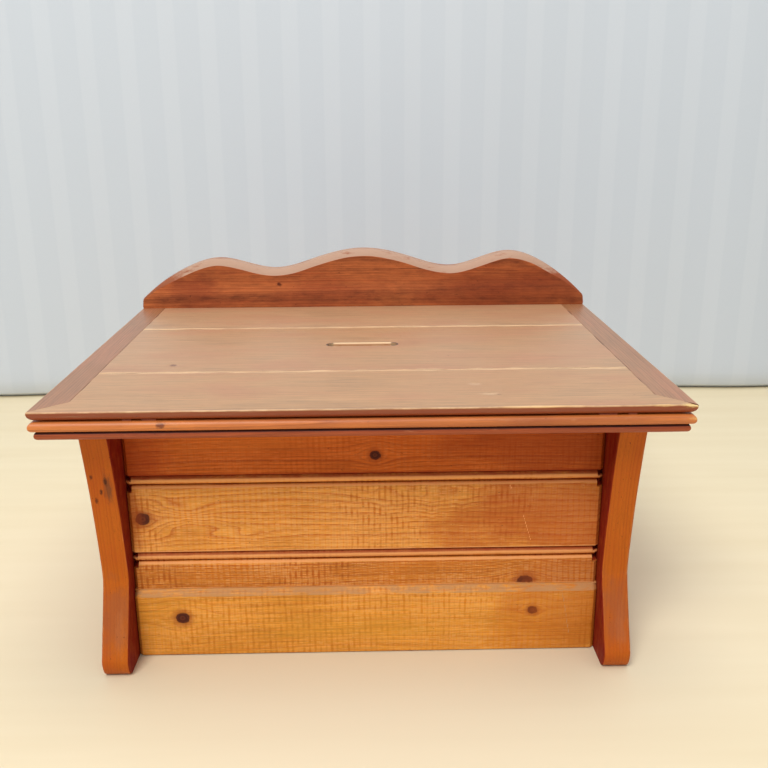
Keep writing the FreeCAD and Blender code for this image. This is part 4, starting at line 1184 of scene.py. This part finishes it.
def end_panels():
    top_front = PANEL_LOW[1] - Y_FRONT
    top = PANEL_HIGH[2]
    upper = circle_side((top_front + 0.7, top), SWEEP_AT, WAIST)
    lower = circle_side(WAIST, SWELL_AT, TOE)

    def front_at(z):
        sweep = np.where(z > WAIST[1], upper(z), lower(z))
        soft = np.exp(-((z - WAIST[1]) / 5.0) ** 2) * 0.8
        toe = SOLE_AT - (SOLE_AT - TOE[0]) * np.sqrt(np.clip(1 - ((TOE[1] - z) / TOE[1]) ** 2, 0,
            1))
        return Y_FRONT + np.where(z < TOE[1], toe, sweep - soft)

    for node, side, seed in [("left_end_panel", -1, 97), ("right_end_panel", 1, 101)]:
        inner = side * PANEL_LOW[0]
        outer = side * PANEL_HIGH[0]
        reference = Y_FRONT + WAIST[0]
        loop = rounded_loop([(inner, reference, 1.3, 0.5), (outer, reference, 1.3, 0.55),
            (outer, Y_REAR, 1.0, 0.4), (inner, Y_REAR, 0.6, 0)], 4.0)

        def shape(points, marks, from_end, seed=seed, inner=inner, side=side):
            z = points[..., 2]
            weight = np.clip((Y_REAR - points[..., 1]) / (Y_REAR - reference - 4), 0, 1)
            points[..., 1] += (front_at(z) - reference) * weight
            points[..., 1] += 0.15 * waves(points, 45, seed) * weight
            points[..., 0] += side * 0.10 * waves(points, 60,
                seed + 1) * (np.abs(points[..., 0] - inner) > 9)
            # Painted shade on the inner face near the front, which is turned from the light.
            seen = smooth_step(points[..., 1], Y_FRONT + 90, Y_FRONT + 60)
            inner_face_shade = (np.abs(points[..., 0] - inner) < 0.8) * seen
            mark(marks, "dirt", inner_face_shade * 0.7)

        x_mid = side * (PANEL_LOW[0] + PANEL_HIGH[0]) / 2
        blots = [((x_mid, Y_FRONT + 40, 40), (16, 30, 26), (152, 86, 54), 0.50),
            ((x_mid + 3, Y_FRONT + 35, 30), (4, 30, 16), (194, 126, 80), 0.2)]
        if side < 0:
            blots += [((x_mid + across, Y_FRONT + 30, z), (wide, 30, tall), tone, amount)
                for across, z, wide, tall, tone, amount in LEFT_BRUISES]
        # The dark colour below is that of the painted shade on the inner faces.
        wood = pine(node + "_wood", "zyx", seed, (192, 98, 18), (158, 64, 10), ring=2.4, wander=4,
            pith=(-150, side * 260), contrast=0.5, stain=(160, 66, 18), stain_amount=0.5,
            blots=blots, worn_and_lit=(200, 122, 66), wear_from=0.42, dirt=(120, 12, 8), fibre=0.28,
            rough=0.46, sheen=0.18, speck=0.8, mottle=0.28)
        panel = swept(node + "_board", loop, 0.0, top, "z", PANEL_STEP, PANEL_EASE, 0.3,
            shape=shape)
        fit(panel, node, wood)


# ---- plain boards, metal and pads ---------------------------------------------------
BARE = {}


def bare_pine(axes):
    if axes not in BARE:
        BARE[axes] = pine("bare_pine_" + axes, axes, 131, (200, 154, 100), (166, 114, 66), ring=3.2,
            pith=(0, -60), contrast=0.7, rough=0.6, coat=0.0, worn_and_lit=(230, 200, 150))
    return BARE[axes]


def plain_board(node, along, axes, arris, material=None):
    """A square-edged board or strip that shows only from behind, below or inside."""
    low, high = span(node)
    _, a_axis, b_axis = AXES[along]
    along_axis = AXES[along][0]
    corners = [(low[a_axis], low[b_axis]), (high[a_axis], low[b_axis]),
        (high[a_axis], high[b_axis]), (low[a_axis], high[b_axis])]
    loop = rounded_loop([corner + (arris, 0.4) for corner in corners], 5.0)
    board = swept(node + "_strip", loop, low[along_axis], high[along_axis], along, 5.0,
        min(arris, 0.5), 0.3, shape=uneven(0.03, 50, len(node)))
    return fit(board, node, material or bare_pine(axes))


def case_inside():
    for node in ["floor_front_board", "floor_middle_board", "floor_rear_board"]:
        plain_board(node, "x", "xyz", 0.5)
    for node in ["floor_cleat_left", "floor_cleat_right"]:
        plain_board(node, "y", "yxz", 0.5)
    for end in ["front", "rear"]:
        for side in ["left", "right"]:
            plain_board("corner_cleat_%s_%s" % (end, side), "z", "zxy", 0.5)


def back_boards():
    for node, seed in [("back_lower_board", 107), ("back_middle_board", 109),
            ("back_top_board", 113)]:
        low, high = span(node)
        top = high[2] - (0 if node == "back_top_board" else TONGUE)
        wood = pine(node + "_wood", "xzy", seed, (196, 106, 42), (156, 72, 26), ring=2.6, wander=4,
            pith=(top - 25, 240), contrast=0.8, stain=(140, 66, 30), stain_amount=0.4)
        loop = rounded_loop([(low[1], low[2], 0.3, 0), (high[1], low[2], 1.0, 0.4),
            (high[1], top, 1.0, 0.4), (low[1], top, 0.3, 0)], 3.0)
        board = swept(node + "_plank", loop, low[0], high[0], "x", 3.0, 0.4,
            shape=uneven(0.06, 60, seed, axis=1))
        fit(board, node, wood)


def metal_and_pads():
    """The carried-over CAD nodes get their materials by slot."""
    by_slot = {"hinge_brass": aged_metal("hinge_brass", (206, 166, 92), (120, 84, 44), 5, 0.32),
        "screw_brass": aged_metal("screw_brass", (214, 178, 104), (110, 78, 40), 8, 0.30),
        "brad_steel": aged_metal("brad_steel", (150, 146, 140), (84, 72, 62), 12, 0.45),
        "felt": felt("pad_felt")}
    for node, slot in SLOT_OF.items():
        if slot in by_slot:
            mesh = frame["nodes"][node].data
            mesh.materials.clear()
            mesh.materials.append(by_slot[slot])


make_camera()
make_stage()
lid_pieces()
rail_piece()
edge_layers()
front_boards()
end_panels()
back_boards()
case_inside()
metal_and_pads()
